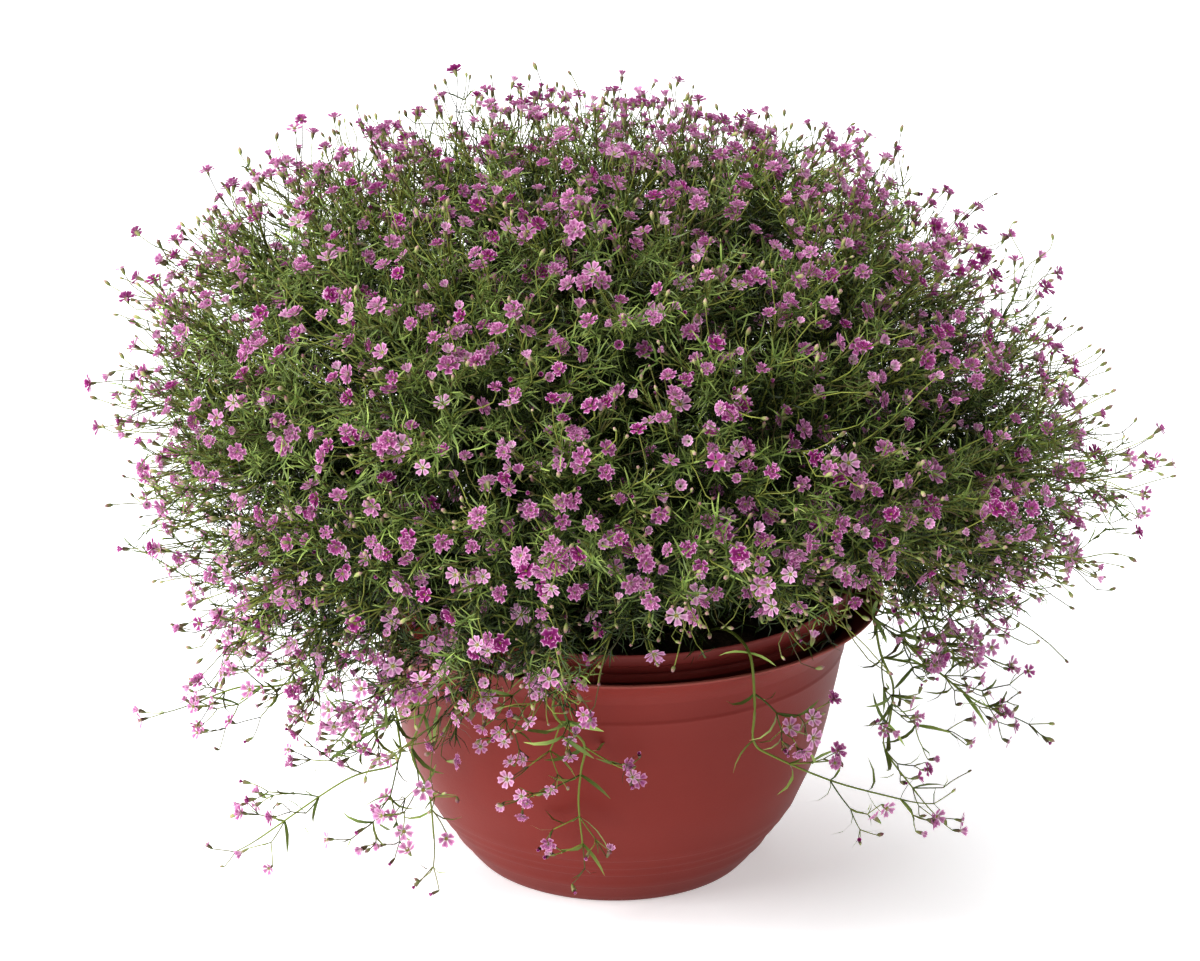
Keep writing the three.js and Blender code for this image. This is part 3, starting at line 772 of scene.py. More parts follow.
def modelBlade(rows, columns):
    # A grid along +Y whose rows get their reach, half width and height, from the tip to the base.
    # Rows that are done wait apart from the others, so that they aren't picked again
    leaveEdit()
    steps, apart = len(rows) - 1, 5
    bpy.ops.mesh.primitive_grid_add(x_subdivisions=columns, y_subdivisions=steps, size=2)
    obj = bpy.context.object
    startEdit()
    for step in range(steps, -1, -1):
        row = -1 + 2 * step / steps
        reach, width, height = rows[step]
        pickPoints(obj, lambda co, row=row: abs(co.y - row) < 0.01 and abs(co.z) < 1e-6)
        bpy.ops.transform.resize(value=(width, 1, 1), center_override=(0, 0, 0))
        bpy.ops.transform.translate(value=(0, apart + reach - row, height + 1e-5))
    bpy.ops.mesh.select_all(action="SELECT")
    bpy.ops.transform.translate(value=(0, -apart, 0))
    return obj


flowers = {
    # A petal from base to tip: how far out, half as wide, how high, in parts of its length
    "rows": [(0.12, 0.07, 0.0), (0.44, 0.22, 0.05), (0.8, 0.36, 0.1), (1.03, 0.26, 0.08)],
    "plainRows": [(0.12, 0.07, 0.0), (0.7, 0.27, 0.09), (1.0, 0.24, 0.06)],
    "notch": 0.1,
    "fold": 0.05,
    # How far the petals of single flowers stand up, in degrees
    "singleTilts": (6, 14, 24),
    # The layers of full flowers: tilt, number of petals, size, turn, how uneven, plain or not
    "doubles": [
        [(4, 5, 1, 0, 0, False), (24, 5, 0.86, 30, 0.12, True), (50, 4, 0.66, 15, 0.15, True)],
        [(10, 6, 1, 0, 0.14, True), (30, 5, 0.82, 30, 0.12, True), (56, 4, 0.64, 50, 0.15, True)],
        [(16, 5, 0.95, 0, 0, False), (42, 6, 0.74, 20, 0.16, True)],
        [(6, 7, 0.95, 0, 0.13, True), (36, 6, 0.76, 25, 0.15, True)],
    ],
    # The middle of a flower: a low dome and its stamens, in parts of a petal's length
    "eyeRadius": 0.17,
    "eyeDepth": 0.09,
    "eyeHeight": 0.08,
    "stamenRadii": (0.018, 0.045),
    "stamenLength": 0.26,
    "stamenHeight": 0.2,
    # Radius and height in parts of the length
    "calyx": [(0.09, 0.0), (0.22, 0.35), (0.3, 0.95)],
    "bud": [(0.07, 0.0), (0.21, 0.3), (0.22, 0.68), (0.02, 1.0)],
}


def modelPetals(tilt, count=5, size=1.0, turn=0.0, uneven=0.0, plain=False, crumple=0.0):
    # One petal with its notch and fold, and turned copies of it round the middle
    obj = modelBlade(flowers["plainRows"] if plain else flowers["rows"], 2)
    pickPoints(obj, lambda co: abs(co.x) < 1e-4 and co.y > 0.9)
    bpy.ops.transform.translate(value=(0, -flowers["notch"], 0))
    pickPoints(obj, lambda co: abs(co.x) < 1e-4)
    bpy.ops.transform.translate(value=(0, 0, -flowers["fold"]))
    if crumple:
        pickPoints(obj, lambda co: co.y > 0.7)
        bpy.ops.transform.resize(value=(0.55, 0.8, 1), center_override=(0, 0, 0))
        bpy.ops.transform.translate(value=(0, 0, crumple))
    bpy.ops.mesh.select_all(action="SELECT")
    bpy.ops.transform.resize(value=(size, size, size), center_override=(0, 0, 0))
    leaveEdit()
    obj.rotation_euler = (math.radians(tilt), 0, math.radians(turn))
    settle(obj, "petal")
    startEdit()
    for step in range(count - 1):
        # In full flowers every other petal is smaller, and closer to the one before it
        larger = step % 2 == 1
        share = 1 / (1 - uneven) if larger else 1 - uneven
        angle = 2 * math.pi / count * (1 + uneven if larger else 1 - uneven)
        bpy.ops.mesh.duplicate()
        bpy.ops.transform.rotate(value=angle, orient_axis="Z", center_override=(0, 0, 0))
        bpy.ops.transform.resize(value=(share, share, 1 / share), center_override=(0, 0, 0))
    return readShape(obj)


def addCone(sides, radii, depth, place):
    bpy.ops.mesh.primitive_cone_add(
        vertices=sides, radius1=radii[0], radius2=radii[1], depth=depth,
        end_fill_type="NOTHING", location=place,
    )


def modelEye(stamens):
    leaveEdit()
    reach = flowers["eyeRadius"]
    addCone(5, (reach, 0), flowers["eyeDepth"], (0, 0, flowers["eyeHeight"]))
    dome = settle(bpy.context.object, "eye")
    startEdit()
    for i in range(stamens):
        place = reach * outwardAt(2 * math.pi * (i + 0.5) / stamens)
        place[2] = flowers["stamenHeight"]
        addCone(3, flowers["stamenRadii"], flowers["stamenLength"], place)
    return readShape(dome)


def modelTurned(profile, sides, close):
    # A small turned shape along +Z, such as a calyx or a bud
    leaveEdit()
    radius, height = profile[0]
    bpy.ops.mesh.primitive_circle_add(vertices=sides, radius=radius, location=(0, 0, height))
    obj = bpy.context.object
    startEdit()
    extrudeRings(profile)
    if close:
        bpy.ops.mesh.merge(type="CENTER")
    bpy.ops.mesh.select_all(action="SELECT")
    bpy.ops.mesh.normals_make_consistent(inside=False)
    shape = readShape(obj)
    x, y, z = shape["points"][shape["corners"]].T
    turns = np.arctan2(y, x) / (2 * math.pi) + 0.5
    shape["places"] = np.stack([turns, (z - z.min()) / (z.max() - z.min())], 1)
    return shape


leaves = {
    # By kind: how far out and half as wide from the base to the tip, in parts of the length, how
    # each form is bowed and curled, and the range of shades
    "fine": {
        "rows": [(0, 0.03), (0.5, 0.038), (1, 0.008)],
        "forms": [(0.1, 0.35), (0.12, 0), (-0.1, 0)],
        "shades": (2, 8),
    },
    "long": {
        "rows": [(0, 0.03), (0.3, 0.03), (0.7, 0.026), (1, 0.006)],
        "forms": [(0.12, 0.3), (0.1, 0), (-0.12, 0)],
        "shades": (1, 8),
    },
    "broad": {
        "rows": [(0, 0.03), (0.5, 0.034), (1, 0.006)],
        "forms": [(0.09, 0), (-0.1, 0)],
        "shades": (0, 6),
    },
    "curled": {
        "rows": [(0, 0.03), (0.2, 0.045), (0.45, 0.052), (0.75, 0.035), (1, 0.005)],
        "forms": [(0.06, 0.8), (0.1, 0.35), (-0.1, 0)],
        "shades": (3, 8),
    },
}


def modelLeaf(rows, bow, curl):
    blade = []
    for reach, width in rows:
        height = bow * reach * (1.2 - reach) * 4 - curl * reach**2
        blade.append((reach * (1 - 0.45 * curl * reach**2), width, height))
    return readShape(modelBlade(blade, 1))


# The plant's form: a dome of sprays, as in the solid model, in metres and radians
plant = {
    "sprays": 29,
    # Half its width, its widest line's height, and how far it goes above and below that
    "half": 0.223,
    "equator": 0.204,
    "crown": 0.150,
    "skirt": 0.108,
    "underPower": 0.44,
    # Slow swells round it: size and phase
    "twofold": (0.022, 0.6),
    "fivefold": (0.018, 2.1),
    "lean": 0.065,
    "lowest": math.radians(-62),
    # It is lifted over the rim at the front
    "liftDirection": math.radians(-64),
    "liftHalfWidth": math.radians(38),
    "liftHeight": 0.05,
    "liftStart": math.radians(22),
    "innermost": 0.010,
    "outermost": 0.074,
    "soilTop": 0.126,
    "soilCrown": 0.004,
    "soilEdge": 0.086,
    "areaSteps": 240,
    # How a spray's stem sets off: outwards, and up by a least height and a share of its reach
    "trunkOut": 0.1,
    "trunkRise": (0.034, 0.24),
    "trunkEnd": 0.42,
    "trunkLeastRise": 0.042,
}
goldenAngle = math.pi * (3 - math.sqrt(5))


def turnFrom(turn, direction):
    return np.mod(turn - direction + math.pi, 2 * math.pi) - math.pi


def domeOutline(angle):
    # Radius and height of the plain dome, by the angle above its widest line
    sine, cosine = np.sin(angle), np.maximum(np.cos(angle), 0)
    above = angle >= 0
    radius = plant["half"] * np.where(above, cosine, cosine ** plant["underPower"])
    return radius, plant["equator"] + np.where(above, plant["crown"], plant["skirt"]) * sine


def surfacePoint(angle, turn):
    radius, height = domeOutline(angle)
    start, end = math.sin(plant["liftStart"]), math.sin(plant["lowest"])
    share = np.clip((start - np.sin(angle)) / (start - end), 0, 1)
    offset = turnFrom(turn, plant["liftDirection"]) / plant["liftHalfWidth"]
    height = height + plant["liftHeight"] * share * np.exp(-(offset**4))
    (two, twoPhase), (five, fivePhase) = plant["twofold"], plant["fivefold"]
    swell = two * np.sin(2 * turn + twoPhase) + five * np.sin(5 * turn + fivePhase) * np.cos(angle)
    lean = plant["lean"] * np.cos(turn) * np.maximum(np.sin(2 * angle), 0)
    radius = radius * (1 + swell - lean)
    return np.stack([radius * np.cos(turn), radius * np.sin(turn), height], -1)


def surfaceNormal(angle, turn):
    step = 0.02
    along = surfacePoint(angle - step, turn) - surfacePoint(angle + step, turn)
    across = np.stack([-np.sin(turn), np.cos(turn), np.zeros_like(turn)], -1)
    normal = unit(np.cross(along, across))
    level = np.cos(angle)
    outward = np.stack([level * np.cos(turn), level * np.sin(turn), np.sin(angle)], -1)
    return normal * np.where((normal * outward).sum(-1, keepdims=True) < 0, -1, 1)


def angleAtArea(share):
    # The angle above which this share of the dome's area lies
    angles = np.linspace(math.pi / 2, plant["lowest"], plant["areaSteps"] + 1)
    radius, height = domeOutline(angles)
    pieces = np.hypot(np.diff(radius), np.diff(height)) * (radius[1:] + radius[:-1]) / 2
    total = np.concatenate([[0], np.cumsum(pieces)])
    return np.interp(share, total / total[-1], angles)


def bezier(points, shares):
    a, b, c, d = (np.asarray(p)[..., None, :] for p in points)
    t = np.asarray(shares)[..., :, None]
    return a * (1 - t) ** 3 + 3 * b * t * (1 - t) ** 2 + 3 * c * t**2 * (1 - t) + d * t**3


def soilHeight(radius):
    return plant["soilTop"] + plant["soilCrown"] * max(1 - radius / plant["soilEdge"], 0)


def layOutSprays():
    # The sprays' ends are spread evenly over the dome, and their roots over the soil
    sprays = []
    least, share = plant["trunkRise"]
    for index in range(plant["sprays"]):
        area = (index + 0.12) / (plant["sprays"] - 0.38)
        angle, turn = angleAtArea(area), np.float64(index * goldenAngle)
        end, normal = surfacePoint(angle, turn), surfaceNormal(angle, turn)
        radius = plant["innermost"] + (plant["outermost"] - plant["innermost"]) * math.sqrt(area)
        root = outwardAt(turn) * radius + [0, 0, soilHeight(radius)]
        reach = np.linalg.norm(end - root)
        rise = root + outwardAt(turn) * plant["trunkOut"] * reach + [0, 0, least + share * reach]
        approach = end - normal * plant["trunkEnd"] * reach
        approach[2] = max(approach[2], root[2] + plant["trunkLeastRise"])
        sprays.append({"index": index, "end": end, "curve": (root, rise, approach, end)})
    return sprays


# Growth: forks divide a spray's tips among its stems, down to one flower, bud or shoot each
growth = {
    "seed": 11,
    "groups": 1950,
    "perGroup": (2, 3, 3, 4),
    "groupSpread": 0.0068,
    "groupSlide": 0.0045,
    "tipScatter": 0.003,
    "budRaise": (0.001, 0.012),
    "tipSpacing": 0.009,
    "forkReach": 2.1,
    "pedicel": 0.006,
    # Shares of the tips that end in a flower, and in a flower or a bud: the rest are leafy shoots
    "flowerShare": 0.31,
    "headShare": 0.57,
    # How plentiful flowers are by height, and just over the rim at the front
    "plentyHeights": (0.22, 0.3),
    "plenties": (0.93, 1.12),
    "frontShare": 0.25,
    "frontHeight": 0.197,
    "leafyDepth": (0.001, 0.02),
    # Leafy shoots inside the plant, for each group at the surface
    "innerShare": 1.0,
    "innerDepth": (0.022, 0.1),
    # Leafy shoots near the soil and under the crown: how many, how far out and how high
    "shoots": [
        (1500, (0.01, 0.16), (0.145, 0.28)),
        (700, (0.0, 0.1), (0.16, 0.27)),
        (800, (0.0, 0.13), (0.275, 0.325)),
    ],
    # How deep the groups lie (mean and spread), and by how much less towards the top
    "depth": (-0.02, 0.006),
    "topRaise": 0.014,
    # The ones that lie deeper, and those that stand out
    "deepShare": 0.22,
    "deep": (0.006, 0.03),
    "strayShare": 0.1,
    "stray": (-0.004, 0.012),
    "strayAngle": math.radians(50),
    # At the left the lowest groups hang further down: direction, half width, and how far
    "hangDirection": math.radians(-148),
    "hangHalfWidth": math.radians(40),
    "hang": 0.048,
    # The form leans: how far to the right each height lies, by the sine of its angle
    "shiftSines": (-0.5, 0.1, 0.9),
    "shifts": (0.006, 0.003, -0.012),
    # Flowers, buds and faded flowers in the last forks: their share, kinds and stalks
    "forkFlowerShare": 0.36,
    "forkKinds": (0.62, 0.2, 0.18),
    "forkStalk": (0.008, 0.016),
    # A spray's lowest stem: its share of the curve, thickness, shade, and place along the band
    "trunkShare": 0.3,
    "trunkThickness": (0.0015, 0.0012),
    "trunkShade": 5,
    "trunkAlong": (0.15, 0.5),
    "thinnest": 0.00026,
    "thickening": 0.4,
    "thickest": 0.0013,
    # Lengths of the leaves at forks and along stems, by the number of tips that they carry
    "forkLeaves": ((2, 5, 20, 60), (0.0065, 0.011, 0.018, 0.026)),
    "sideLeaves": ((2, 10, 50), (0.008, 0.016, 0.025)),
    "leafStep": 0.0031,
    "tuftShare": 0.8,
}


def plentyAt(places):
    turn = np.arctan2(places[..., 1], places[..., 0])
    facing = np.abs(turnFrom(turn, plant["liftDirection"])) < plant["liftHalfWidth"]
    atFront = (places[..., 2] < growth["frontHeight"]) & facing
    byHeight = np.interp(places[..., 2], growth["plentyHeights"], growth["plenties"])
    return np.where(atFront, growth["frontShare"], byHeight)


def placeTips(sprays):
    # Groups of tips all over the dome, each tip belonging to the nearest spray
    rng = np.random.RandomState(growth["seed"])
    count = growth["groups"]
    index = np.arange(count)
    angle = angleAtArea((index + 0.5) / count)
    sine = np.sin(angle)
    turn = index * goldenAngle + rng.normal(0, 0.01, count)
    centre, normal = surfacePoint(angle, turn), surfaceNormal(angle, turn)
    across = squareTo(normal, rng.normal(0, 1, (count, 3)))
    over = np.cross(normal, across)
    slide = rng.normal(0, growth["groupSlide"], (count, 2))
    centre = centre + across * slide[:, :1] + over * slide[:, 1:]
    depth = rng.normal(*growth["depth"], count) + growth["topRaise"] * np.clip(2 * sine - 0.4, 0, 1)
    deep = rng.rand(count) < growth["deepShare"]
    depth[deep] -= rng.uniform(*growth["deep"], deep.sum())
    stray = (rng.rand(count) < growth["strayShare"]) & (np.abs(angle) < growth["strayAngle"])
    depth[stray] = rng.uniform(*growth["stray"], stray.sum())
    aside = turnFrom(turn, growth["hangDirection"]) / growth["hangHalfWidth"]
    low = np.clip((-sine - 0.45) / 0.43, 0, 1) * np.exp(-(aside**2))
    centre[:, 2] -= growth["hang"] * low * rng.rand(count)
    centre[:, 0] += np.interp(sine, growth["shiftSines"], growth["shifts"])
    flowering = growth["flowerShare"] * plentyAt(centre)
    tips = []
    for i in range(count):
        for _ in range(growth["perGroup"][rng.randint(len(growth["perGroup"]))]):
            draw = rng.rand()
            kind = "bud" if draw < growth["headShare"] else "leafy"
            if draw < flowering[i]:
                kind = "flower"
            offset = rng.normal(0, growth["groupSpread"], 2)
            out = depth[i] + rng.normal(0, growth["tipScatter"])
            if kind == "bud":
                out += rng.uniform(*growth["budRaise"])
            if kind == "leafy":
                out -= rng.uniform(*growth["leafyDepth"])
            place = centre[i] + across[i] * offset[0] + over[i] * offset[1] + normal[i] * out
            tips.append((place, normal[i], kind))
        if rng.rand() < growth["innerShare"]:
            inner = centre[i] - normal[i] * rng.uniform(*growth["innerDepth"])
            tips.append((inner, normal[i], "leafy"))
    for number, reaches, heights in growth["shoots"]:
        for _ in range(number):
            outward, reach = outwardAt(rng.uniform(0, 2 * math.pi)), rng.uniform(*reaches)
            tips.append((outward * reach + [0, 0, rng.uniform(*heights)], outward, "leafy"))
    places, normals, kinds = asColumns(tips)
    ends = np.array([spray["end"] for spray in sprays])
    nearest = np.linalg.norm(places[:, None] - ends[None], axis=2).argmin(1)
    for spray in sprays:
        mine = nearest == spray["index"]
        spray["tips"] = (places[mine], normals[mine], kinds[mine])


def asColumns(rows):
    return [np.array(column) for column in zip(*rows)]


def newGrowth():
    return {"stems": [], "heads": [], "leaves": []}


def stemRadius(tipCount):
    return min(growth["thinnest"] * tipCount ** growth["thickening"], growth["thickest"])


def addStem(grown, start, heading, end, arrival, startRadius, endRadius, age):
    # One internode, leaving along heading and arriving along arrival
    length = np.linalg.norm(end - start)
    control = (start, start + heading * length * 0.33, end - arrival * length * 0.33, end)
    grown["stems"].append((control, startRadius, endRadius, age, length))
    return control, length


def addStalkedHead(grown, start, heading, end, facing, kind):
    radius = growth["thinnest"]
    addStem(grown, start, heading, end, facing, radius * 1.1, radius, 1.0)
    grown["heads"].append((end, facing, kind))


def addLeafPair(grown, place, heading, aside, length, kind):
    for side in (1, -1):
        grown["leaves"].append((place, heading, aside * side, length, kind))


def growTip(grown, rng, start, heading, place, normal, kind):
    # Heads turn up and outwards, also those under the dome's widest line
    level = normal * [1, 1, 0.35 if normal[2] < 0 else 1]
    facing = unit(level + rng.normal(0, 0.42, 3) + [0, 0, 0.2])
    radius = growth["thinnest"]
    control, length = addStem(grown, start, heading, place, facing, radius * 1.15, radius, 1.0)
    if kind == "leafy":
        addSideLeaves(grown, rng, control, length, 3)
        aside = squareTo(facing, rng.normal(0, 1, 3))
        addLeafPair(grown, place, facing, aside, rng.uniform(0.005, 0.01), "fine")
    else:
        grown["heads"].append((place, facing, kind))


def grow(grown, rng, start, heading, tips, normals, kinds):
    count = len(tips)
    if count == 1:
        growTip(grown, rng, start, heading, tips[0], normals[0], kinds[0])
        return
    spread = tips - tips.mean(0)
    axis = np.linalg.eigh(spread.T @ spread)[1][:, 2] + rng.normal(0, 0.35, 3)
    order = np.argsort(spread @ axis)
    cut = int(np.clip(round(count * rng.uniform(0.36, 0.64)), 1, count - 1))
    aside = squareTo(heading, rng.normal(0, 1, 3))
    leafLength = float(np.interp(count, *growth["forkLeaves"])) * rng.uniform(0.75, 1.3)
    addLeafPair(grown, start, heading, aside, leafLength, "fine" if count < 4 else "long")
    if count <= 5 and rng.rand() < growth["forkFlowerShare"] * plentyAt(start):
        facing = unit(heading + rng.normal(0, 0.3, 3))
        place = start + facing * rng.uniform(*growth["forkStalk"])
        kind = rng.choice(["flower", "bud", "spent"], p=growth["forkKinds"])
        addStalkedHead(grown, start, heading, place, facing, kind)
    for part in (order[:cut], order[cut:]):
        share = (tips[part], normals[part], kinds[part])
        if len(part) == 1:
            grow(grown, rng, start, heading, *share)
            continue
        target = tips[part].mean(0)
        away = start - target
        distance = np.linalg.norm(away)
        fan = growth["forkReach"] * growth["tipSpacing"] * math.sqrt(len(part) / math.pi)
        node = target + away / distance * min(fan + growth["pedicel"], 0.8 * distance)
        node = node + rng.normal(0, 0.0016, 3)
        arrival = unit(0.75 * unit(target - node) + 0.25 * heading + rng.normal(0, 0.1, 3))
        radii = stemRadius(count) * 0.9, stemRadius(len(part))
        age = float(np.interp(len(part), (2, 40), (0.9, 0.1)))
        control, length = addStem(grown, start, heading, node, arrival, *radii, age)
        addSideLeaves(grown, rng, control, length, len(part))
        grow(grown, rng, node, arrival, *share)


def addSideLeaves(grown, rng, control, length, count):
    # Tufts of leaves along an internode, closer together on the older stems
    pairs = int(length / growth["leafStep"] * float(np.interp(count, (2, 6), (0.6, 1))))
    shares = (np.arange(pairs) + rng.uniform(0.2, 0.8, pairs)) / max(pairs, 1)
    direction = unit(np.asarray(control[3]) - control[0])
    kind = "fine" if count < 4 else "long" if count < 14 else "broad"
    usual = float(np.interp(count, *growth["sideLeaves"]))
    for place in bezier(control, shares):
        aside = squareTo(direction, rng.normal(0, 1, 3))
        leafLength = usual * rng.uniform(0.65, 1.25)
        addLeafPair(grown, place, direction, aside, leafLength, kind)
        if rng.rand() < growth["tuftShare"]:
            over = np.cross(direction, aside)
            addLeafPair(grown, place, direction, over, leafLength * rng.uniform(0.5, 0.9), kind)


# Painted shade: leaves are drawn in darker shades the deeper they lie in the plant, and their
# random shades lean to the dark
leafShades = {
    "power": 2.9,
    "from": 0.94,
    "perShare": 24,
    "most": 6,
    "middleHeight": 0.17,
    "height": 0.18,
}
heads = {
    "petalLength": 0.0041,
    "petalSizes": (0.76, 1.16),
    "calyxLength": 0.0036,
    "calyxSizes": (0.85, 1.1),
    "budLength": 0.0038,
    "budSizes": (0.62, 1.2),
    # Share of full flowers by height
    "doubleHeights": (0.12, 0.24),
    "doubleShares": (0.2, 0.7),
    "halfOpenShare": 0.2,
}


def placeFrames(across, ahead, upward, sizes, places):
    # Matrices from the directions of X, Y and Z
    matrices = np.zeros((len(places), 4, 4))
    for column, directions in enumerate((across, ahead, upward)):
        matrices[:, :3, column] = directions * sizes[:, None]
    matrices[:, :3, 3] = places
    matrices[:, 3, 3] = 1
    return matrices


def framesUp(directions, rng, sizes, places):
    # Matrices whose Z runs along the directions, each turned at random about it
    across = squareTo(directions, rng.normal(0, 1, directions.shape))
    return placeFrames(across, np.cross(directions, across), directions, sizes, places)


def dressLeaves(batch, rng, rows):
    for kind, shapes in leafShapes.items():
        mine = [row for row in rows if row[4] == kind]
        if not mine:
            continue
        places, headings, asides, sizes, _ = asColumns(mine)
        count = len(mine)
        lean = rng.uniform(0.35, 1.1, (count, 1))
        directions = unit(headings * lean + asides + rng.normal(0, 0.16, places.shape))
        upward = squareTo(directions, headings + rng.normal(0, 0.35, places.shape))
        matrices = placeFrames(np.cross(directions, upward), directions, upward, sizes, places)
        low, high = leaves[kind]["shades"]
        shades = (low + (high - low) * rng.rand(count) ** leafShades["power"]).astype(int)
        # Painted shade: leaves deep inside the plant get darker shades, except the curled ones
        if kind != "curled":
            out = np.linalg.norm(places[:, :2], axis=1) / plant["half"]
            up = (places[:, 2] - leafShades["middleHeight"]) / leafShades["height"]
            paintedShade = (leafShades["from"] - np.hypot(out, up)) * leafShades["perShare"]
            shades = shades - np.clip(paintedShade, 0, leafShades["most"]).astype(int)
        shades = np.clip(shades, 0, strips["count"] - 1)
        forms = rng.randint(0, len(shapes), count)
        for i, shape in enumerate(shapes):
            addCopies(batch, shape, matrices[forms == i], shades[forms == i], bands["leaf"])


def dressStems(batch, rng, rows):
    # Longer stems are bent in more steps
    for steps, low, high in ((3, 0, 0.007), (4, 0.007, 0.015), (5, 0.015, 1)):
        mine = [row for row in rows if low <= row[4] < high]
        if not mine:
            continue
        controls, starts, ends, ages, _ = asColumns(mine)
        shares = np.repeat(np.linspace(0, 1, steps)[None], len(mine), 0)
        paths = bezier(controls.transpose(1, 0, 2), shares)
        thickness = starts[:, None] + (ends - starts)[:, None] * shares
        alongs = np.stack([np.clip(ages - 0.1, 0, 1), ages], 1)
        addStems(batch, paths, thickness, rng.randint(0, strips["count"], len(mine)), alongs)


def dressHeads(greenBatch, petalBatch, rng, rows):
    allShades = strips["count"]
    for kind in ("flower", "bud", "spent"):
        mine = [row for row in rows if row[2] == kind]
        if not mine:
            continue
        places, facings, _ = asColumns(mine)
        count = len(mine)
        if kind == "bud":
            sizes = heads["budLength"] * rng.uniform(*heads["budSizes"], count)
            matrices = framesUp(facings, rng, sizes, places)
            shades = rng.randint(0, allShades, count)
            addCopies(greenBatch, budShape, matrices, shades, bands["bud"])
            continue
        sizes = heads["calyxLength"] * rng.uniform(*heads["calyxSizes"], count)
        matrices = framesUp(facings, rng, sizes, places)
        shades = rng.randint(0, allShades, count)
        addCopies(greenBatch, calyxShape, matrices, shades, bands["calyx"])
        tops = places + facings * sizes[:, None] * 0.92
        sizes = heads["petalLength"] * rng.uniform(*heads["petalSizes"], count)
        matrices = framesUp(facings, rng, sizes, tops)
        if kind == "spent":
            shades = np.full(count, allShades - 1)
            addCopies(petalBatch, spentShape, matrices, shades, bands["petal"])
            continue
        shades = np.clip(np.round(rng.gamma(2.0, 1.0, count)), 0, allShades - 2).astype(int)
        draws = rng.rand(count)
        double = draws < np.interp(places[:, 2], heads["doubleHeights"], heads["doubleShares"])
        half = draws > 1 - heads["halfOpenShare"]
        single = ~double & ~half
        shades[double] = np.minimum(shades[double] + 3, allShades - 1)
        for chosen, shapes in ((double, doubleShapes), (half, halfShapes), (single, singleShapes)):
            forms = rng.randint(0, len(shapes), count)
            for i, shape in enumerate(shapes):
                mask = chosen & (forms == i)
                addCopies(petalBatch, shape, matrices[mask], shades[mask], bands["petal"])
        for chosen, shape in ((single, eyeShape), (double, plainEyeShape)):
            addCopies(petalBatch, shape, matrices[chosen], shades[chosen], bands["eye"])


def finishPlantPiece(node, grown, rng, path, thickness):
    greenBatch, petalBatch = newBatch(), newBatch()
    shade, along = np.array([growth["trunkShade"]]), np.array([growth["trunkAlong"]])
    addStems(greenBatch, path[None], thickness[None], shade, along, sides=5)
    dressStems(greenBatch, rng, grown["stems"])
    dressLeaves(greenBatch, rng, grown["leaves"])
    dressHeads(greenBatch, petalBatch, rng, grown["heads"])
    green = meshFrom(node + "_greens", greenBatch)
    green.data.materials.append(greenMaterial)
    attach(green, "root")
    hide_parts(node)
    pink = meshFrom(node + "_flowers", petalBatch)
    pink.data.materials.append(petalMaterial)
    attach(pink, "root")
    return np.array([len(green.data.polygons), len(pink.data.polygons)])


def makeSpray(spray):
    rng = np.random.RandomState(growth["seed"] + 100 + spray["index"])
    grown = newGrowth()
    path = bezier(spray["curve"], np.linspace(0, growth["trunkShare"], 7))
    thickness = np.linspace(*growth["trunkThickness"], len(path))
    length = np.linalg.norm(path[-1] - path[0])
    addSideLeaves(grown, rng, (path[0], path[2], path[4], path[-1]), length, 60)
    grow(grown, rng, path[-1], unit(path[-1] - path[-2]), *spray["tips"])
    return finishPlantPiece(f"spray_{spray['index'] + 1:02d}", grown, rng, path, thickness)


# Stems that trail over the rim
trailers = {
    "rootRadius": 0.082,
    "seed": 71,
    "thickness": (0.0009, 0.0004),
    "nodeStep": 0.019,
    "lowest": 0.009,
    # Radius and height of the way over the rim, and how far points keep from the bowl's wall
    "overRim": [(0.0965, 0.14375), (0.111, 0.1465), (0.125, 0.141)],
    "wallSpace": 0.0016,
    "wallTop": 0.134,
    # Shares of the last twigs that end in a flower, and in a flower or a bud: the rest have faded
    "flowerShare": 0.52,
    "headShare": 0.84,
    "forkFlowerShare": 0.55,
    "missingShare": 0.12,
    # Name, direction, how many of its joints branch and how often the branches fork, and the way
    # it hangs, in millimetres
    "routes": [
        ("front", -100, 0.8, 2,
         [(-26, -124, 120), (-13, -117, 103), (-14, -112, 87), (-15, -108, 70), (-13, -101, 46)]),
        ("front_right", -62, 0.75, 2,
         [(61, -113, 119), (61, -112, 102), (70, -110, 94), (98, -99, 77), (131, -90, 64)]),
        ("right", -24, 1.0, 3,
         [(120, -56, 120), (126, -56, 105), (125, -58, 89), (123, -60, 76), (139, -60, 53)]),
        ("right_high", -6, 1.0, 3,
         [(133, -30, 117), (147, -30, 103), (165, -30, 88), (180, -30, 81)]),
        ("front_left", -125, 0.65, 2,
         [(-82, -112, 114), (-88, -108, 93), (-81, -102, 71), (-79, -100, 48)]),
        ("left", -141, 0.95, 3,
         [(-97, -92, 116), (-95, -92, 99), (-96, -90, 80), (-119, -85, 69), (-159, -82, 38)]),
        ("left_high", -161, 1.0, 3,
         [(-128, -50, 114), (-148, -52, 101), (-169, -54, 100), (-190, -55, 92)]),
        ("back", 98, 0.9, 3,
         [(-18, 131, 118), (-26, 128, 94), (-24, 120, 68), (-34, 112, 46)]),
    ],
}


def smoothLine(points, perStep):
    # A Catmull-Rom line through the points
    points = np.asarray(points, float)
    padded = np.concatenate([[2 * points[0] - points[1]], points, [2 * points[-1] - points[-2]]])
    line = []
    for i in range(1, len(padded) - 2):
        a, b, c, d = padded[i - 1 : i + 3]
        for t in np.arange(perStep) / perStep:
            curve = (2 * a - 5 * b + 4 * c - d) * t**2 + (3 * b - a - 3 * c + d) * t**3
            line.append(0.5 * (2 * b + (c - a) * t + curve))
    line.append(points[-1])
    return np.array(line)


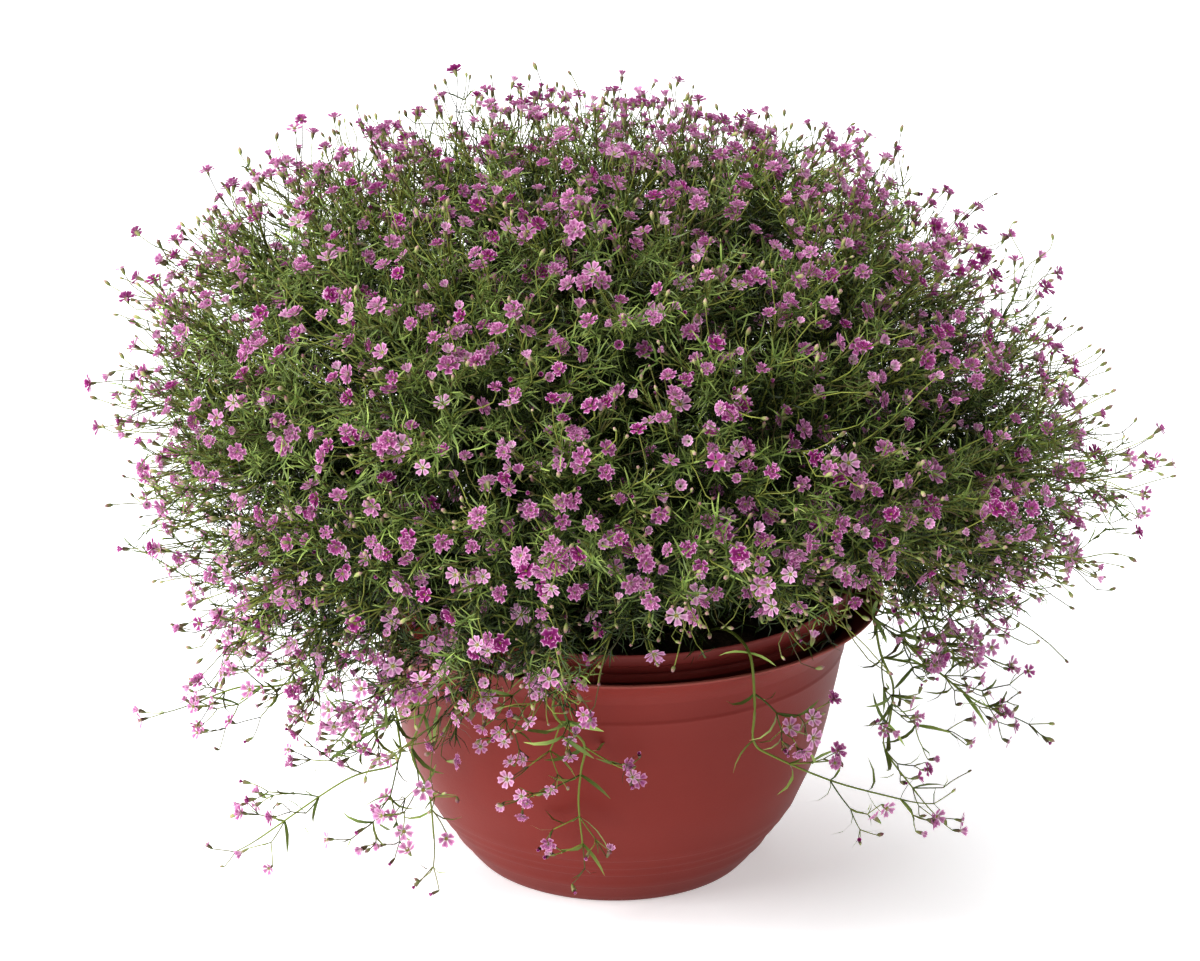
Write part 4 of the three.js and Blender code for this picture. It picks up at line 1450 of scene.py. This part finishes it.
def outOfBowl(points):
    # Moves points in the bowl's wall out to just before it, and keeps all of them off the floor
    outside = bowl["profile"][slice(*bowl["outerWall"])]
    heights, radii = zip(*sorted((height / 1000, radius / 1000) for radius, height in outside))
    radius = np.linalg.norm(points[..., :2], axis=-1)
    wall = np.interp(points[..., 2], heights, radii) + trailers["wallSpace"]
    inside = (points[..., 2] < trailers["wallTop"]) & (radius < wall)
    share = np.where(inside, wall / np.maximum(radius, 1e-6), 1.0)
    moved = points.copy()
    moved[..., :2] *= share[..., None]
    moved[..., 2] = np.maximum(moved[..., 2], trailers["lowest"])
    return moved


def growBranch(grown, rng, start, heading, length, level):
    # A fork with a flower in it and two arms that fork again
    outward = unit(start * [1, 1, 0])
    lifted = unit(heading + [0, 0, 0.1] + outward * 0.25 + rng.normal(0, 0.16, 3))
    end = outOfBowl(start + unit(heading + lifted) * length)
    radius = growth["thinnest"] * (1 + 0.2 * level)
    addStem(grown, start, heading, end, lifted, radius * 1.15, radius, 0.95 - 0.2 * level)
    if level == 0:
        facing = unit(outward * 0.9 + [0, 0, 0.35] + lifted * 0.2 + rng.normal(0, 0.48, 3))
        draw = rng.rand()
        kind = "bud" if draw < trailers["headShare"] else "spent"
        if draw < trailers["flowerShare"]:
            kind = "flower"
        grown["heads"].append((end, facing, kind))
        return
    aside = squareTo(lifted, rng.normal(0, 1, 3))
    if level == 1:
        addLeafPair(grown, end, lifted, aside, length * rng.uniform(0.5, 0.85), "fine")
    else:
        addLeafPair(grown, end, lifted, aside, rng.uniform(0.012, 0.019), "curled")
    if rng.rand() < trailers["forkFlowerShare"]:
        facing = unit(lifted * 0.4 + outward * 0.9 + rng.normal(0, 0.45, 3))
        place = outOfBowl(end + facing * length * rng.uniform(0.45, 0.8))
        kind = "flower" if rng.rand() < 0.8 else "spent"
        addStalkedHead(grown, end, lifted, place, facing, kind)
    for side in (1, -1):
        if rng.rand() < trailers["missingShare"]:
            continue
        arm = unit(lifted + aside * side * rng.uniform(0.45, 0.9))
        growBranch(grown, rng, end, arm, length * rng.uniform(0.62, 0.92), level - 1)


def makeTrailer(index, name, degrees, branching, forks, hang):
    rng = np.random.RandomState(trailers["seed"] + 10 * index)
    outward = outwardAt(math.radians(degrees))
    radius = trailers["rootRadius"]
    height = soilHeight(radius)
    rise = [(radius, height), (radius + 0.0015, height + 0.009), *trailers["overRim"]]
    points = [outward * radius + [0, 0, height] for radius, height in rise]
    line = smoothLine(points + [np.array(point) / 1000 for point in hang], 6)
    thickness = np.linspace(*trailers["thickness"], len(line))
    grown = newGrowth()
    lengths = np.concatenate([[0], np.cumsum(np.linalg.norm(np.diff(line, axis=0), axis=1))])
    whole = lengths[-1]

    def pointAt(length):
        return np.array([np.interp(length, lengths, line[:, k]) for k in range(3)])

    end = unit(line[-1] - line[-2])
    place, side, ahead = whole * 0.3, 1, 0.004
    while place < whole:
        at = pointAt(place)
        along = unit(pointAt(place + ahead) - at) if place + ahead < whole else end
        away = unit(at * [1, 1, 0])
        aside = squareTo(along, np.cross(along, away) + rng.normal(0, 0.3, 3))
        addLeafPair(grown, at, along, aside, rng.uniform(0.014, 0.023), "curled")
        for hand in (side, -side):
            # Fewer of its joints branch to both sides
            if rng.rand() < (branching if hand == side else branching - 0.5):
                arm = unit(aside * hand + along * 0.8 + away * 0.45)
                level = np.interp(place, (0.35 * whole, whole), (forks + 0.9, 0.9))
                shorter = float(np.interp(place / whole, (0.35, 1), (1, 0.7)))
                length = rng.uniform(0.012, 0.02) * shorter
                growBranch(grown, rng, at, arm, length, round(float(level)))
        side = -side
        place += trailers["nodeStep"] * rng.uniform(0.75, 1.25)
    growBranch(grown, rng, line[-1], end, 0.013, 1)
    return finishPlantPiece("trailer_" + name, grown, rng, line, thickness)


print("stage: camera, floor and lights")
makeCamera()
makeStage()

print("stage: materials")
plasticGroup = makePlasticGroup()
stripGroup = makeStripGroup()
greenMaterial = makeGreen()
petalMaterial = makePink()

print("stage: bowl, inner pot and soil")
makeBowl()
makeLiner()
makeSoil()

print("stage: shapes that repeat")
singleShapes = [modelPetals(tilt) for tilt in flowers["singleTilts"]]
doubleShapes = [joinShapes([modelPetals(*layer) for layer in form]) for form in flowers["doubles"]]
halfShapes = [modelPetals(54, size=0.95, plain=True)]
spentShape = modelPetals(68, size=0.62, crumple=-0.1)
eyeShape, plainEyeShape = modelEye(5), modelEye(0)
calyxShape = modelTurned(flowers["calyx"], 4, close=False)
budShape = modelTurned(flowers["bud"], 5, close=True)
leafShapes = {
    kind: [modelLeaf(form["rows"], bow, curl) for bow, curl in form["forms"]]
    for kind, form in leaves.items()
}

print("stage: sprays")
sprays = layOutSprays()
placeTips(sprays)
total = sum(makeSpray(spray) for spray in sprays)
print("stage: trailing stems")
total = total + sum(makeTrailer(index, *route) for index, route in enumerate(trailers["routes"]))
print("faces of green parts and of petals:", total)

print("stage: done")
